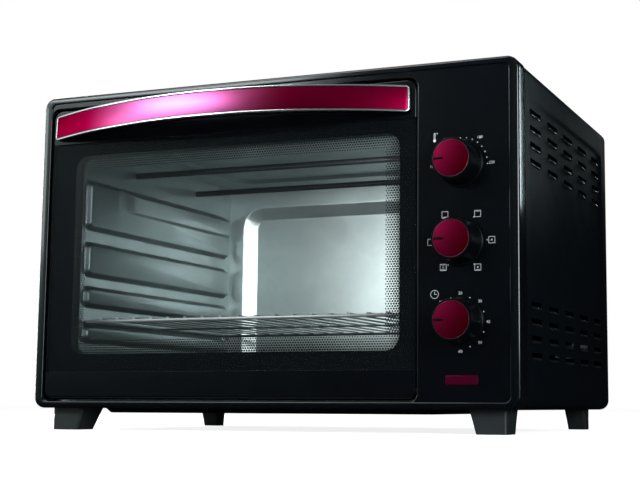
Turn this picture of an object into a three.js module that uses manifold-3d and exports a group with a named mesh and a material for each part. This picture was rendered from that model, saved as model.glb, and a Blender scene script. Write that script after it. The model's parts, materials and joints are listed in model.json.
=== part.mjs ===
// Countertop mini oven with a drop-down glass door, a bowed handle and three rotary controls.
// Millimetres. X runs right, Y runs back and Z runs up from the worktop; the front faces -Y.
// The origin lies on the worktop, under the middle of the whole oven.

import * as THREE from 'three';
import { mergeVertices } from 'three/addons/utils/BufferGeometryUtils.js';
import Module from 'manifold-3d';

const wasm = await Module();
wasm.setup();

// Driving dimensions: the body
const bodyWidth = 540;
const bodyHeight = 337;
const bodyDepth = 385;
const bodyCorner = 12;
const footHeight = 23;
const handleReach = 50;
const bushProud = 5;
const seatGap = 0.3;
const overrun = 5;

// Driving dimensions: the moulded front frame
const bezelDepth = 24;
const bezelWall = 2.4;
const bezelCrest = 3;
const rimSide = 10;
const rimEnd = 7;
const topBand = 6;
const rimInnerCorner = 6;
const faceRecess = 1.5;
const faceThickness = 2.6;
const panelWidth = 93;
const lipDepth = 22;
const openingCorner = 9;
const postHeight = 6;
const postRadius = 4;
const postInset = 14;

// Driving dimensions: the sheet-metal casing
const sheet = 1;
const casingStep = 1;
const flangeWidth = 19;
const fieldSetback = 12;
const fieldRearInset = 20;
const fieldLowInset = 39;
const fieldTopInset = 30;
const fieldCorner = 10;
const fieldDepth = 1.5;
const fieldDraft = 3;
const louvreLength = 40;
const louvreHeight = 4.5;
const louvreColumnPitch = 67;
const louvreRowPitch = 16.5;
const louvreFirstColumn = 33;
const louvreTopInset = 14;
const louvreLowInset = 14;
const louvreLip = 1.3;
const louvreLipHeight = 2.4;
const louvreColumns = 5;
const louvreRows = 4;

// Driving dimensions: the back panel, base panel and feet
const backFlange = 9;
const ventWidth = 4;
const ventHeight = 90;
const ventPitch = 12;
const ventsPerGroup = 12;
const ventGroupSpread = 125;
const ventTopInset = 46;
const basePressDepth = 6;
const basePressDraft = 7;
const basePressSideInset = 37;
const basePressControlInset = 100;
const basePressFrontInset = 36;
const basePressRearInset = 46;
const basePressCorner = 16;
const footWidth = 38;
const footLength = 40;
const footTipWidth = 31;
const footTipLength = 31;
const rearFootWidth = 24;
const rearFootLength = 25;
const rearFootTipWidth = 22;
const rearFootTipLength = 15;
const footSideInset = 16;
const footFrontInset = 12;
const footRearInset = 34;
const footCorner = 3;
const footScrewRadius = 4;
const footScrewDepth = 14;
const screwHeadRadius = 3.6;
const screwHeadHeight = 2.2;
const screwShankRadius = 1.7;
const screwShankLength = 8;
const screwInset = 16;
const bushRadius = 8;
const bushNeckRadius = 6;
const bushBoreRadius = 3.6;
const bushFlange = 3;
const bushSideInset = 40;
const bushRise = 36;

// Driving dimensions: the cooking cavity
const cavitySideInset = 22;
const cavityFarInset = 21;
const cavityHeadroom = 34;
const cavityRearSpace = 16;
const cavityRise = 20;
const frameMargin = 3;
const mouthCorner = 4;
const ledgeDepth = 6;
const ledgeDraft = 2.4;
const ledgeCorner = 7;
const ledgeFrontInset = 13;
const ledgeRearInset = 8;
const beadDepth = 3;
const beadDraft = 4;
const beadCorner = 6;
const beadFrontInset = 70;
const beadRearInset = 13;
const backPressDepth = 12;
const backPressDraft = 15;
const backPressSideInset = 20;
const backPressTopInset = 25;
const backPressLowInset = 25;
const backPressCorner = 26;
const roofPressDepth = 4;
const roofPressDraft = 6;
const roofPressInset = 40;
const trayHeight = 8;
const trayDraft = 4;
const trayInset = 10;
const trayCorner = 8;
const heaterRadius = 3.5;
const heaterDrop = 18;
const ceramicRadius = 6;
const ceramicLength = 9;
const terminalRadius = 1.6;
const terminalLength = 8;
const ledgeSpanShares = [[0.1635, 0.2471], [0.3118, 0.4068], [0.4411, 0.5932], [0.6388, 0.8555]];
const beadSpanShares = [0.7433, 0.8422];
const heaterDepthShares = [0.3367, 0.7413];

// Driving dimensions: the wire rack
const rackFrameRadius = 2.5;
const rackWireRadius = 1.4;
const rackSideGap = 1;
const rackFrontInset = 14;
const rackRearInset = 12;
const rackWires = 17;
const rackTipRise = 4;

// Driving dimensions: the convection fan
const fanRadius = 42;
const fanWidth = 14;
const fanBlades = 8;
const fanBladeThickness = 1.4;
const fanDiscThickness = 1.5;
const fanClearance = 5;
const fanHubRadius = 7;
const fanShaftRadius = 3;
const fanShaftLength = 34;
const fanMotorRadius = 29;
const fanMotorLength = 30;
const fanMotorFlange = 3;
const fanGrilleThickness = 1.5;
const fanGrilleBorder = 6;
const grilleSlots = 12;
const grilleSlotWidth = 5;
const fanDepthShare = 0.479769;
const fanHeightShare = 0.5;

// Driving dimensions: the door
const doorGap = 2;
const doorRecess = 3;
const glassThickness = 4;
const doorFrameDepth = 13;
const doorFrameSheet = 1.5;
const bottomRailHeight = 29;
const topRailHeight = 38;
const doorWindowLeft = 28;
const doorWindowRight = 18.5;
const doorWindowLow = 48;
const doorWindowTop = 51;
const doorWindowCorner = 14;
const doorCorner = 10;
const doorToeFront = 4;
const doorToeRear = 6.5;
const pivotSetback = 10;
const pivotRise = 9;
const hingeBlock = 24;
const pinRadius = 2.5;
const pinReach = 13;
const pinHeadRadius = 4;
const pinHeadThickness = 1.6;
const hingeBracketThickness = 2;
const hingeBracketFront = 16;
const hingeBracketRise = 20;
const hingeBracketDrop = 9;
const stayRadius = 64;
const stayHeight = 8;
const stayThickness = 2;
const stayInset = 8;
const stayClearance = 1;
const stayStartAngle = 10;
const stayEndAngle = 98;

// Driving dimensions: the handle
const handleEndInset = 5;
const handleHeight = 27;
const handleTopInset = 6.1;
const handleEndReach = 2.2;
const handleArch = 1.5;
const handleThickness = 9;
const handlePostWidth = 18;
const handleCorner = 4;
const trimDepth = 2;
const trimWidth = 2.2;
const inlaySetback = 0.5;

// Driving dimensions: the controls
const dialInset = 48;
const topDialShare = 0.302671;
const dialPitchShare = 0.225519;
const knobStandoff = 1;
const knobHeight = 30.5;
const knobSkirtRadius = 23.3;
const knobSkirtHeight = 3;
const knobWaistRadius = 21.3;
const knobFrontRadius = 19.9;
const knobEdge = 0.8;
const capRadius = 18.75;
const capThickness = 2.2;
const capDome = 0.7;
const capEdge = 0.5;
const pointerWidth = 1.6;
const pointerInner = 8;
const pointerMargin = 1.2;
const shaftRadius = 3;
const shaftFlat = 0.9;
const shaftInKnob = 16;
const shaftInBody = 12;
const shaftHoleRadius = 4.5;
const shaftBushRadius = 5;
const bracketThickness = 1.2;
const bracketMargin = 8;
const bracketFlange = 10;
const bracketEndMargin = 34;
const controlBodyWidth = 40;
const controlBodyHeight = 42;
const controlBodyDepth = 16;
const thermostatCanRadius = 17;
const thermostatCanLength = 12;
const switchWaferWidth = 32;
const switchWaferThickness = 4;
const switchWaferGap = 2.5;
const switchWafers = 3;
const timerBellRadius = 18;
const timerBellLength = 14;
const lensWidth = 33;
const lensHeight = 9.5;
const lensDropShare = 0.163205;
const lensProud = 1;
const lensCorner = 2;
const lensFlange = 2;
const lensFlangeThickness = 1.2;
const lampRadius = 3;
const lampLength = 24;
const terminalBlockWidth = 42;
const terminalBlockDepth = 18;
const terminalBlockHeight = 16;
const terminalTowers = 3;
const terminalTowerRadius = 4;
const terminalTowerHeight = 4;

// Facet counts and the tolerance at which shared vertices are merged
const cornerSteps = 3;
const crestSteps = 3;
const roundSides = 12;
const knobSides = 28;
const wireSides = 6;
const curveSteps = 10;
const weld = 1e-4;

// Places that follow from the driving dimensions
const halfWidth = bodyWidth / 2;
const bottomZ = footHeight;
const topZ = bottomZ + bodyHeight;
const frontY = handleReach - (handleReach + bodyDepth + bushProud) / 2;
const backY = frontY + bodyDepth;
const faceY = frontY + faceRecess;
const panelBackY = faceY + faceThickness;
const lipY = frontY + lipDepth;
const casingY = frontY + bezelDepth;
const openLeft = -halfWidth + rimSide;
const openRight = halfWidth - rimSide - panelWidth;
const openLow = bottomZ + rimEnd;
const openHigh = topZ - rimEnd - topBand;
const dialX = halfWidth - rimSide - dialInset;
const topDialZ = topZ - topDialShare * bodyHeight;
const dialPitch = dialPitchShare * bodyHeight;
const lensZ = topDialZ - 2 * dialPitch - lensDropShare * bodyHeight;
const casingHalf = halfWidth - casingStep;
const casingTop = topZ - casingStep;
const casingCorner = bodyCorner - casingStep;
const baseZ = bottomZ + sheet;
const cavityLeft = openLeft + cavitySideInset;
const cavityRight = openRight - cavityFarInset;
const cavityWidth = cavityRight - cavityLeft;
const cavityFloor = openLow + cavityRise;
const cavityTop = openHigh - cavityHeadroom;
const cavityHeight = cavityTop - cavityFloor;
const cavityFront = lipY + sheet;
const cavityBack = backY - cavityRearSpace;
const cavityDepth = cavityBack - cavityFront;
const doorX = (openLeft + openRight) / 2;
const doorHalf = (openRight - openLeft) / 2 - doorGap;
const doorLow = openLow + doorGap;
const doorHigh = openHigh - doorGap;
const pivotY = frontY + pivotSetback;
const pivotZ = doorLow + pivotRise;
const fanY = cavityFront + fanDepthShare * cavityDepth;
const fanZ = cavityFloor + fanHeightShare * cavityHeight;
const dishRadius = fanRadius + fanClearance;
const fanBossX = cavityRight - ledgeDepth;
const dishFloorX = fanBossX + fanWidth + 2 * fanClearance;

// Materials of the pieces
const paint = (color, roughness, metalness) => new THREE.MeshStandardMaterial({ color, roughness, metalness });
const blackGloss = paint(0x0b0c0e, 0.25, 0);
const blackSatin = paint(0x121316, 0.5, 0.1);
const blackPlastic = paint(0x15161a, 0.55, 0);
const grey = paint(0x8a8d90, 0.4, 0.9);
const galvanised = paint(0x9fa6a6, 0.35, 0.85);
const chromeWire = paint(0xc9cdd0, 0.2, 1);
const heaterSteel = paint(0x35383b, 0.45, 0.7);
const silver = paint(0xd5d8da, 0.25, 1);
const crimson = paint(0xa30f38, 0.3, 0.8);
const lensRed = paint(0x8c0f22, 0.2, 0);
const lampGlass = paint(0xf1c9a0, 0.2, 0);
const ceramic = paint(0xe6e1d6, 0.8, 0);
const glass = new THREE.MeshStandardMaterial({ color: 0x101314, roughness: 0.05, transparent: true, opacity: 0.4 });

/** Signed volume of an indexed triangle mesh. */
function signedVolume(points, faces) {
  const corner = (i) => new THREE.Vector3().fromArray(points, 3 * faces[i]);
  let total = 0;
  for (let i = 0; i < faces.length; i += 3) {
    total += corner(i).dot(corner(i + 1).cross(corner(i + 2)));
  }
  return total / 6;
}

/** A geometry as a solid, with shared vertices merged and its faces turned outwards. */
function solid(geometry) {
  const bare = geometry.clone();
  ['normal', 'uv'].forEach((name) => bare.deleteAttribute(name));
  const merged = mergeVertices(bare, weld);
  const points = Float32Array.from(merged.attributes.position.array);
  const faces = [];
  const source = merged.index.array;
  for (let i = 0; i < source.length; i += 3) {
    const [a, b, c] = [source[i], source[i + 1], source[i + 2]];
    if (a !== b && b !== c && c !== a) faces.push(a, b, c);
  }
  if (signedVolume(points, faces) < 0) faces.reverse();
  const mesh = new wasm.Mesh({ numProp: 3, vertProperties: points, triVerts: Uint32Array.from(faces) });
  return new wasm.Manifold(mesh);
}

/** Joins a list of solids into one. */
function union(solids) {
  return solids.reduce((whole, piece) => whole.add(piece));
}

/** A named mesh of a solid, placed at a point. */
function piece(name, shape, material, position = [0, 0, 0]) {
  const { vertProperties, triVerts } = shape.getMesh();
  const geometry = new THREE.BufferGeometry();
  geometry.setAttribute('position', new THREE.Float32BufferAttribute(vertProperties, 3));
  geometry.setIndex(Array.from(triVerts));
  geometry.computeVertexNormals();
  const mesh = new THREE.Mesh(geometry, material);
  mesh.name = name;
  mesh.position.set(...position);
  return mesh;
}

/** The block between two corners. */
function block(x0, x1, y0, y1, z0, z1) {
  const geometry = new THREE.BoxGeometry(x1 - x0, y1 - y0, z1 - z0);
  return solid(geometry.translate((x0 + x1) / 2, (y0 + y1) / 2, (z0 + z1) / 2));
}

/** Outline of a rectangle with rounded corners, as a shape. */
function roundedShape(u0, u1, v0, v1, radius) {
  const r = Math.max(0, Math.min(radius, (u1 - u0) / 2, (v1 - v0) / 2));
  const shape = new THREE.Shape();
  shape.absarc(u1 - r, v0 + r, r, -Math.PI / 2, 0);
  shape.absarc(u1 - r, v1 - r, r, 0, Math.PI / 2);
  shape.absarc(u0 + r, v1 - r, r, Math.PI / 2, Math.PI);
  shape.absarc(u0 + r, v0 + r, r, Math.PI, 1.5 * Math.PI);
  return shape;
}

/** Extrudes a shape along its own Z between two depths, with curves in the given number of steps. */
function extrude(shape, from, to, curveSegments) {
  const settings = { depth: to - from, bevelEnabled: false, curveSegments };
  return new THREE.ExtrudeGeometry(shape, settings).translate(0, 0, from);
}

/** Extrudes an outline drawn in X and Z from one Y to another. */
function prismY(shape, y0, y1, steps = cornerSteps) {
  const turn = new THREE.Matrix4().makeRotationX(Math.PI / 2);
  return solid(extrude(shape, -y1, -y0, steps).applyMatrix4(turn));
}

/** Extrudes an outline drawn in Y and Z from one X to another. */
function prismX(shape, x0, x1, steps = cornerSteps) {
  const [x, y, z] = [new THREE.Vector3(1, 0, 0), new THREE.Vector3(0, 1, 0), new THREE.Vector3(0, 0, 1)];
  const turn = new THREE.Matrix4().makeBasis(y, z, x);
  return solid(extrude(shape, x0, x1, steps).applyMatrix4(turn));
}

/** Extrudes an outline drawn in X and Y from one Z to another. */
function prismZ(shape, z0, z1, steps = cornerSteps) {
  return solid(extrude(shape, z0, z1, steps));
}

/** Outline of a shape from points given as pairs. */
function outline(points) {
  return new THREE.Shape(points.map(([u, v]) => new THREE.Vector2(u, v)));
}

/** Points of a rounded rectangle, lifted into space by a function of its two directions. */
function ring(u0, u1, v0, v1, radius, place) {
  const r = Math.max(weld, Math.min(radius, (u1 - u0) / 2, (v1 - v0) / 2));
  const centres = [[u1 - r, v0 + r, -0.5], [u1 - r, v1 - r, 0], [u0 + r, v1 - r, 0.5], [u0 + r, v0 + r, 1]];
  return centres.flatMap(([u, v, start]) =>
    Array.from({ length: cornerSteps + 1 }, (_, step) => {
      const angle = Math.PI * (start + step / (2 * cornerSteps));
      return place(u + r * Math.cos(angle), v + r * Math.sin(angle));
    }));
}

/** Skin through rings of equally many points, closed by a flat face at each end. */
function loft(rings) {
  const count = rings[0].length;
  const faces = [];
  for (let low = 0; low < (rings.length - 1) * count; low += count) {
    for (let i = 0; i < count; i += 1) {
      const j = (i + 1) % count;
      faces.push(low + i, low + j, low + count + j, low + i, low + count + j, low + count + i);
    }
  }
  const last = (rings.length - 1) * count;
  for (let i = 1; i < count - 1; i += 1) {
    faces.push(0, i + 1, i, last, last + i, last + i + 1);
  }
  const geometry = new THREE.BufferGeometry();
  const points = rings.flat().flatMap((point) => point.toArray());
  geometry.setAttribute('position', new THREE.Float32BufferAttribute(points, 3));
  geometry.setIndex(faces);
  return solid(geometry);
}

/** A pressed field: its outline shrinks by the draft while it rises from one level to another. */
function pressing([u0, u1, v0, v1], radius, from, to, draft, place) {
  const inner = [u0 + draft, u1 - draft, v0 + draft, v1 - draft];
  return loft([
    ring(u0, u1, v0, v1, radius, (u, v) => place(u, v, from)),
    ring(...inner, radius - draft, (u, v) => place(u, v, to)),
  ]);
}

const onX = (u, v, level) => new THREE.Vector3(level, u, v);
const onY = (u, v, level) => new THREE.Vector3(u, level, v);
const onZ = (u, v, level) => new THREE.Vector3(u, v, level);

/** Sheet with a pressed field: the field stands out on one side and is hollow on the other. */
function press(plate, area, radius, surface, rise, draft, thickness, place) {
  const [near, far] = rise > 0 ? [surface - thickness, surface] : [surface + thickness, surface];
  const outer = pressing(area, radius, (near + far) / 2, far + rise, draft * (1 + Math.abs(thickness / 2 / rise)), place);
  const shrunk = area.map((value, index) => value + (index % 2 ? -thickness : thickness) / 2);
  const stretch = 1 + overrun / Math.abs(rise);
  const grown = shrunk.map((value, index) => value + (index % 2 ? draft : -draft) * (stretch - 1));
  const hollow = pressing(grown, radius + draft * (stretch - 1), near - rise * (stretch - 1), near + rise,
    draft * stretch, place);
  return plate.add(outer).subtract(hollow);
}

/** Solid of revolution about Y from radius and Y pairs. */
function turnedY(profile, sides = roundSides) {
  return solid(new THREE.LatheGeometry(profile.map(([r, y]) => new THREE.Vector2(r, y)), sides));
}

/** Straight round bar between two points. */
function bar(from, to, radius, sides = roundSides) {
  const start = new THREE.Vector3(...from);
  const run = new THREE.Vector3(...to).sub(start);
  const geometry = new THREE.CylinderGeometry(radius, radius, run.length(), sides);
  geometry.applyQuaternion(new THREE.Quaternion().setFromUnitVectors(
    new THREE.Vector3(0, 1, 0), run.clone().normalize()));
  return solid(geometry.translate(...start.addScaledVector(run, 0.5).toArray()));
}

/** The same solid reflected left to right about the plane at a given X. */
function mirrored(shape, planeX = 0) {
  const { vertProperties, triVerts } = shape.getMesh();
  const geometry = new THREE.BufferGeometry();
  geometry.setAttribute('position', new THREE.Float32BufferAttribute(vertProperties, 3));
  geometry.setIndex(Array.from(triVerts));
  return solid(geometry.scale(-1, 1, 1).translate(2 * planeX, 0, 0));
}

// Front frame: rounded rim, recessed face, door opening, hollow back and posts for the bracket
function frontBezel() {
  const rings = Array.from({ length: crestSteps + 1 }, (_, step) => {
    const angle = (Math.PI / 2) * (step / crestSteps);
    const inset = bezelCrest * (1 - Math.sin(angle));
    const y = frontY + bezelCrest * (1 - Math.cos(angle));
    return ring(inset - halfWidth, halfWidth - inset, bottomZ + inset, topZ - inset,
      bodyCorner - inset, (u, v) => onY(u, v, y));
  });
  rings.push(ring(-halfWidth, halfWidth, bottomZ, topZ, bodyCorner, (u, v) => onY(u, v, casingY)));
  const recess = prismY(roundedShape(openLeft, halfWidth - rimSide, openLow, topZ - rimEnd, rimInnerCorner),
    frontY - overrun, faceY);
  const opening = prismY(roundedShape(openLeft, openRight, openLow, openHigh, openingCorner),
    frontY - overrun, casingY + overrun);
  const lipOutline = (grow) => roundedShape(openLeft - grow, openRight + grow, openLow - grow,
    openHigh + grow, openingCorner + grow);
  const hollow = prismY(roundedShape(bezelWall - halfWidth, halfWidth - bezelWall, bottomZ + bezelWall,
    topZ - bezelWall, bodyCorner - bezelWall), panelBackY, casingY + overrun)
    .subtract(prismY(lipOutline(bezelWall), frontY, casingY + 2 * overrun));
  const lipEnd = prismY(lipOutline(bezelWall + seatGap), lipY, casingY + overrun);
  const posts = postPlaces().map(([x, z]) =>
    bar([x, panelBackY - faceThickness / 2, z], [x, panelBackY + postHeight, z], postRadius));
  const shaftHoles = dialHeights().map((z) =>
    bar([dialX, frontY - overrun, z], [dialX, casingY, z], shaftHoleRadius));
  const lensHole = prismY(lensOutline(seatGap), frontY - overrun, casingY);
  const pinHole = bar([openLeft - bezelWall - overrun, pivotY, pivotZ], [openLeft + overrun, pivotY, pivotZ],
    pinRadius + seatGap);
  return union([loft(rings).subtract(hollow), ...posts])
    .subtract(union([recess, opening, lipEnd, lensHole, pinHole, mirrored(pinHole, doorX), ...shaftHoles]));
}

/** Heights of the three dials, from the top down. */
function dialHeights() {
  return [0, 1, 2].map((index) => topDialZ - index * dialPitch);
}

/** Posts behind the control panel that carry the bracket. */
function postPlaces() {
  const [left, right] = [openRight + postInset, halfWidth - rimSide];
  const low = topDialZ - 2 * dialPitch - dialPitch / 2;
  return [[left, low], [right, low], [left, topDialZ + dialPitch / 2], [right, topDialZ + dialPitch / 2]];
}

/** Outline of the indicator lens, grown by a clearance. */
function lensOutline(grow) {
  return roundedShape(dialX - lensWidth / 2 - grow, dialX + lensWidth / 2 + grow,
    lensZ - lensHeight / 2 - grow, lensZ + lensHeight / 2 + grow, lensCorner + grow);
}

// Casing: one sheet bent over the top and both sides, with pressed side fields and louvres
function casingWrapper() {
  const shell = (inset) => roundedShape(inset - casingHalf, casingHalf - inset, bottomZ + inset,
    casingTop - inset, casingCorner - inset);
  const gapBelow = block(flangeWidth - casingHalf, casingHalf - flangeWidth, casingY - overrun, backY + overrun,
    bottomZ - overrun, baseZ + overrun);
  const wrapper = prismY(shell(0), casingY, backY, cornerSteps + 1)
    .subtract(prismY(shell(sheet), casingY - overrun, backY + overrun, cornerSteps + 1))
    .subtract(gapBelow);
  const area = [casingY + fieldSetback, backY - fieldRearInset, bottomZ + fieldLowInset, topZ - fieldTopInset];
  const pressed = press(wrapper, area, fieldCorner, -casingHalf + sheet, fieldDepth, fieldDraft, sheet, onX);
  const both = mirrored(press(mirrored(pressed), area, fieldCorner, -casingHalf + sheet, fieldDepth,
    fieldDraft, sheet, onX));
  const left = union(louvrePlaces(area).map(([y, z]) => louvreCut(y, z)));
  const lips = union(louvrePlaces(area).map(([y, z]) => louvreLipBar(y, z)));
  return both.subtract(left).subtract(mirrored(left)).add(lips).add(mirrored(lips));
}

/** Centres of the louvres on one side: two groups, one high and one low. */
function louvrePlaces([y0, , z0, z1]) {
  const columns = Array.from({ length: louvreColumns }, (_, i) => y0 + louvreFirstColumn + i * louvreColumnPitch);
  const rows = Array.from({ length: louvreRows }, (_, i) => i * louvreRowPitch);
  const heights = [...rows.map((drop) => z1 - louvreTopInset - drop), ...rows.map((rise) => z0 + louvreLowInset + rise)];
  return heights.flatMap((z) => columns.map((y) => [y, z]));
}

/** Slot of one louvre on the left side. */
function louvreCut(y, z) {
  return block(-casingHalf - overrun, fieldDepth + sheet + overrun - casingHalf,
    y - louvreLength / 2, y + louvreLength / 2, z - louvreHeight / 2, z + louvreHeight / 2);
}

/** Lip pressed out below one louvre slot on the left side. */
function louvreLipBar(y, z) {
  const face = -casingHalf + fieldDepth;
  const edge = z - louvreHeight / 2;
  const section = [[face - louvreLip, edge], [face + sheet / 2, edge], [face + sheet / 2, edge - louvreLipHeight]];
  const turn = new THREE.Matrix4().makeRotationX(Math.PI / 2);
  const long = extrude(outline(section), -(y + louvreLength / 2), -(y - louvreLength / 2), 1);
  return solid(long.applyMatrix4(turn));
}

// Back panel: a shallow tray let into the casing, with vents, screw holes and the cord hole
function rearPanel() {
  const edge = casingHalf - sheet - seatGap;
  const tray = (inset) => roundedShape(inset - edge, edge - inset, baseZ + sheet + seatGap + inset,
    casingTop - sheet - seatGap - inset, casingCorner - sheet - seatGap - inset);
  const vents = [-1, 1].flatMap((side) => Array.from({ length: ventsPerGroup }, (_, i) => {
    const x = side * ventGroupSpread + (i - (ventsPerGroup - 1) / 2) * ventPitch;
    return block(x - ventWidth / 2, x + ventWidth / 2, backY - overrun, backY + overrun,
      topZ - ventTopInset - ventHeight, topZ - ventTopInset);
  }));
  const screws = screwPlaces().map(([x, z]) =>
    bar([x, backY - backFlange, z], [x, backY + overrun, z], screwShankRadius + seatGap, cornerSteps * 2));
  const cordHole = bar([bushX(), backY - overrun, bushZ()], [bushX(), backY + overrun, bushZ()],
    bushNeckRadius + seatGap);
  return prismY(tray(0), backY - backFlange, backY)
    .subtract(prismY(tray(sheet), backY - backFlange - overrun, backY - sheet))
    .subtract(union([...vents, ...screws, cordHole]));
}

const bushX = () => halfWidth - bushSideInset;
const bushZ = () => bottomZ + bushRise;

/** Places of the screws that hold the back panel. */
function screwPlaces() {
  const x = casingHalf - screwInset;
  return [[-x, casingTop - screwInset], [x, casingTop - screwInset], [-x, bottomZ + screwInset], [x, bottomZ + screwInset]];
}

/** Pan-head screw with its head seated against the outside of the back panel. */
function panScrew() {
  const seat = seatGap;
  return turnedY([[0, -screwShankLength], [screwShankRadius, -screwShankLength], [screwShankRadius, seat],
    [screwHeadRadius, seat], [screwHeadRadius, seat + screwHeadHeight / 2],
    [screwHeadRadius * 0.6, seat + screwHeadHeight], [0, seat + screwHeadHeight]], cornerSteps * 3);
}

/** Rubber bush that lines the cord hole in the back panel. */
function cordBush() {
  const inside = -sheet - seatGap;
  return turnedY([[bushBoreRadius, inside - bushFlange], [bushRadius, inside - bushFlange], [bushRadius, inside],
    [bushNeckRadius, inside], [bushNeckRadius, seatGap], [bushRadius, seatGap],
    [bushBoreRadius + bushFlange / 2, bushProud], [bushBoreRadius, bushProud], [bushBoreRadius, inside - bushFlange]]);
}

// Base panel: flat sheet on the casing's lower flanges, pressed down between the feet
function basePanel() {
  const edge = casingHalf - casingCorner - seatGap;
  const plate = block(-edge, edge, casingY, backY - backFlange - seatGap, baseZ, baseZ + sheet);
  const area = [basePressSideInset + basePressDraft / 2 - casingHalf,
    casingHalf - basePressControlInset - basePressDraft / 2,
    frontY + basePressFrontInset + bezelDepth, backY - basePressRearInset - bezelDepth];
  return press(plate, area, basePressCorner, baseZ, -basePressDepth, basePressDraft, sheet, onZ);
}

/** Tapered foot at one corner: its outer and front faces are upright and the others slope in. */
function foot(sideX, sideY) {
  const outer = casingHalf - footSideInset;
  const nearY = sideY < 0 ? frontY + footFrontInset : backY - footRearInset;
  const [tipLength, length] = sideY < 0 ? [footTipLength, footLength] : [rearFootTipLength, rearFootLength];
  const [tipWidth, topWidth] = sideY < 0 ? [footTipWidth, footWidth] : [rearFootTipWidth, rearFootWidth];
  const level = (width, run, z) => {
    const xs = [sideX * outer, sideX * (outer - width)].sort((a, b) => a - b);
    const ys = [nearY, nearY - sideY * run].sort((a, b) => a - b);
    return ring(...xs, ...ys, footCorner, (u, v) => onZ(u, v, z));
  };
  const x = sideX * (outer - tipWidth / 2);
  const y = nearY - (sideY * tipLength) / 2;
  const underFrame = block(-halfWidth, halfWidth, frontY, casingY + seatGap, bottomZ, topZ);
  const recess = bar([x, y, -overrun], [x, y, footScrewDepth], footScrewRadius, cornerSteps * 3);
  const flange = [casingHalf - flangeWidth - seatGap, casingHalf].map((reach) => sideX * reach).sort((a, b) => a - b);
  const underFlange = block(...flange, casingY - overrun, backY + overrun, bottomZ, topZ);
  return loft([level(tipWidth, tipLength, 0), level(topWidth, length, baseZ)])
    .subtract(recess).subtract(underFrame).subtract(underFlange);
}

// Cavity front frame: flat sheet round the mouth, behind the lip of the door opening
function cavityFrontFrame() {
  const grow = bezelWall + frameMargin;
  const plate = prismY(roundedShape(openLeft - grow, openRight + grow, openLow - bezelWall, openHigh + grow,
    openingCorner), lipY, cavityFront);
  const mouth = prismY(roundedShape(cavityLeft, cavityRight, cavityFloor, cavityTop, mouthCorner),
    lipY - overrun, cavityFront + overrun);
  return plate.subtract(union([mouth, staySlot(), mirrored(staySlot(), doorX)]));
}

/** Slot in the front frame that the left door stay runs through. */
function staySlot() {
  const x = doorX - doorHalf + stayInset;
  const [inner, outer] = [stayRadius - stayHeight / 2, stayRadius + stayHeight / 2];
  const [near, far] = [lipY - pivotY, cavityFront - pivotY];
  const low = pivotZ + Math.sqrt(inner ** 2 - far ** 2) - stayClearance;
  const high = pivotZ + Math.sqrt(outer ** 2 - near ** 2) + stayClearance;
  const half = stayThickness / 2 + stayClearance;
  return block(x - half, x + half, lipY - overrun, cavityFront + overrun, low, high);
}

// Cavity walls: pressed sheets that meet edge to edge
function cavitySideWall() {
  const plate = block(cavityLeft - sheet, cavityLeft, cavityFront, cavityBack, cavityFloor - sheet, cavityTop + sheet);
  const pressed = ledgeAreas().reduce((wall, area) =>
    press(wall, area, ledgeCorner, cavityLeft, ledgeDepth, ledgeDraft, sheet, onX), plate);
  const beadArea = [cavityFront + beadFrontInset, cavityBack - beadRearInset,
    ...beadSpanShares.map((share) => cavityFloor + share * cavityHeight)];
  const beaded = press(pressed, beadArea, beadCorner, cavityLeft + ledgeDepth, beadDepth, beadDraft, sheet, onX);
  const holes = heaterPlaces().map(([y, z]) => bar([cavityLeft - overrun, y, z],
    [cavityLeft + overrun, y, z], heaterRadius + seatGap, cornerSteps * 3));
  return beaded.subtract(union(holes));
}

/** Pressed fields of a side wall; the grooves between them carry the rack. */
function ledgeAreas() {
  return ledgeSpanShares.map(([low, high]) => [cavityFront + ledgeFrontInset, cavityBack - ledgeRearInset,
    cavityFloor + low * cavityHeight, cavityFloor + high * cavityHeight]);
}

/** Right side wall: the left one reflected, with a round dish for the fan. */
function cavityRightWall() {
  const middle = (cavityLeft + cavityRight) / 2;
  const disc = (from, to, radius) => bar([from, fanY, fanZ], [to, fanY, fanZ], radius, knobSides);
  const boss = disc(fanBossX, cavityRight + sheet, dishRadius + fanGrilleBorder);
  const dish = disc(fanBossX, dishFloorX + sheet, dishRadius + sheet);
  const bossHollow = disc(fanBossX + sheet, cavityRight + 2 * sheet, dishRadius + fanGrilleBorder - sheet);
  const dishHollow = disc(fanBossX - overrun, dishFloorX, dishRadius);
  const shaftHole = disc(dishFloorX - overrun, dishFloorX + overrun, fanShaftRadius + 2 * seatGap);
  return mirrored(cavitySideWall(), middle).add(boss).subtract(bossHollow).add(dish)
    .subtract(dishHollow).subtract(shaftHole);
}

/** Back wall with its wide dished field. */
function cavityBackWall() {
  const plate = block(cavityLeft - sheet, cavityRight + sheet, cavityBack, cavityBack + sheet,
    cavityFloor - sheet, cavityTop + sheet);
  const area = [cavityLeft + backPressSideInset, cavityRight - backPressSideInset,
    cavityFloor + backPressLowInset, cavityTop - backPressTopInset];
  return press(plate, area, backPressCorner, cavityBack + sheet, backPressDepth, backPressDraft, sheet, onY);
}

/** Ceiling with a shallow field pressed up. */
function cavityCeiling() {
  const plate = block(cavityLeft, cavityRight, cavityFront, cavityBack, cavityTop, cavityTop + sheet);
  const area = [cavityLeft + roofPressInset, cavityRight - roofPressInset, cavityFront + roofPressInset,
    cavityBack - roofPressInset];
  return press(plate, area, backPressCorner, cavityTop + sheet, roofPressDepth, roofPressDraft, sheet, onZ);
}

/** Plain floor sheet. */
function cavityFloorSheet() {
  return block(cavityLeft, cavityRight, cavityFront, cavityBack, cavityFloor - sheet, cavityFloor);
}

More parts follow.
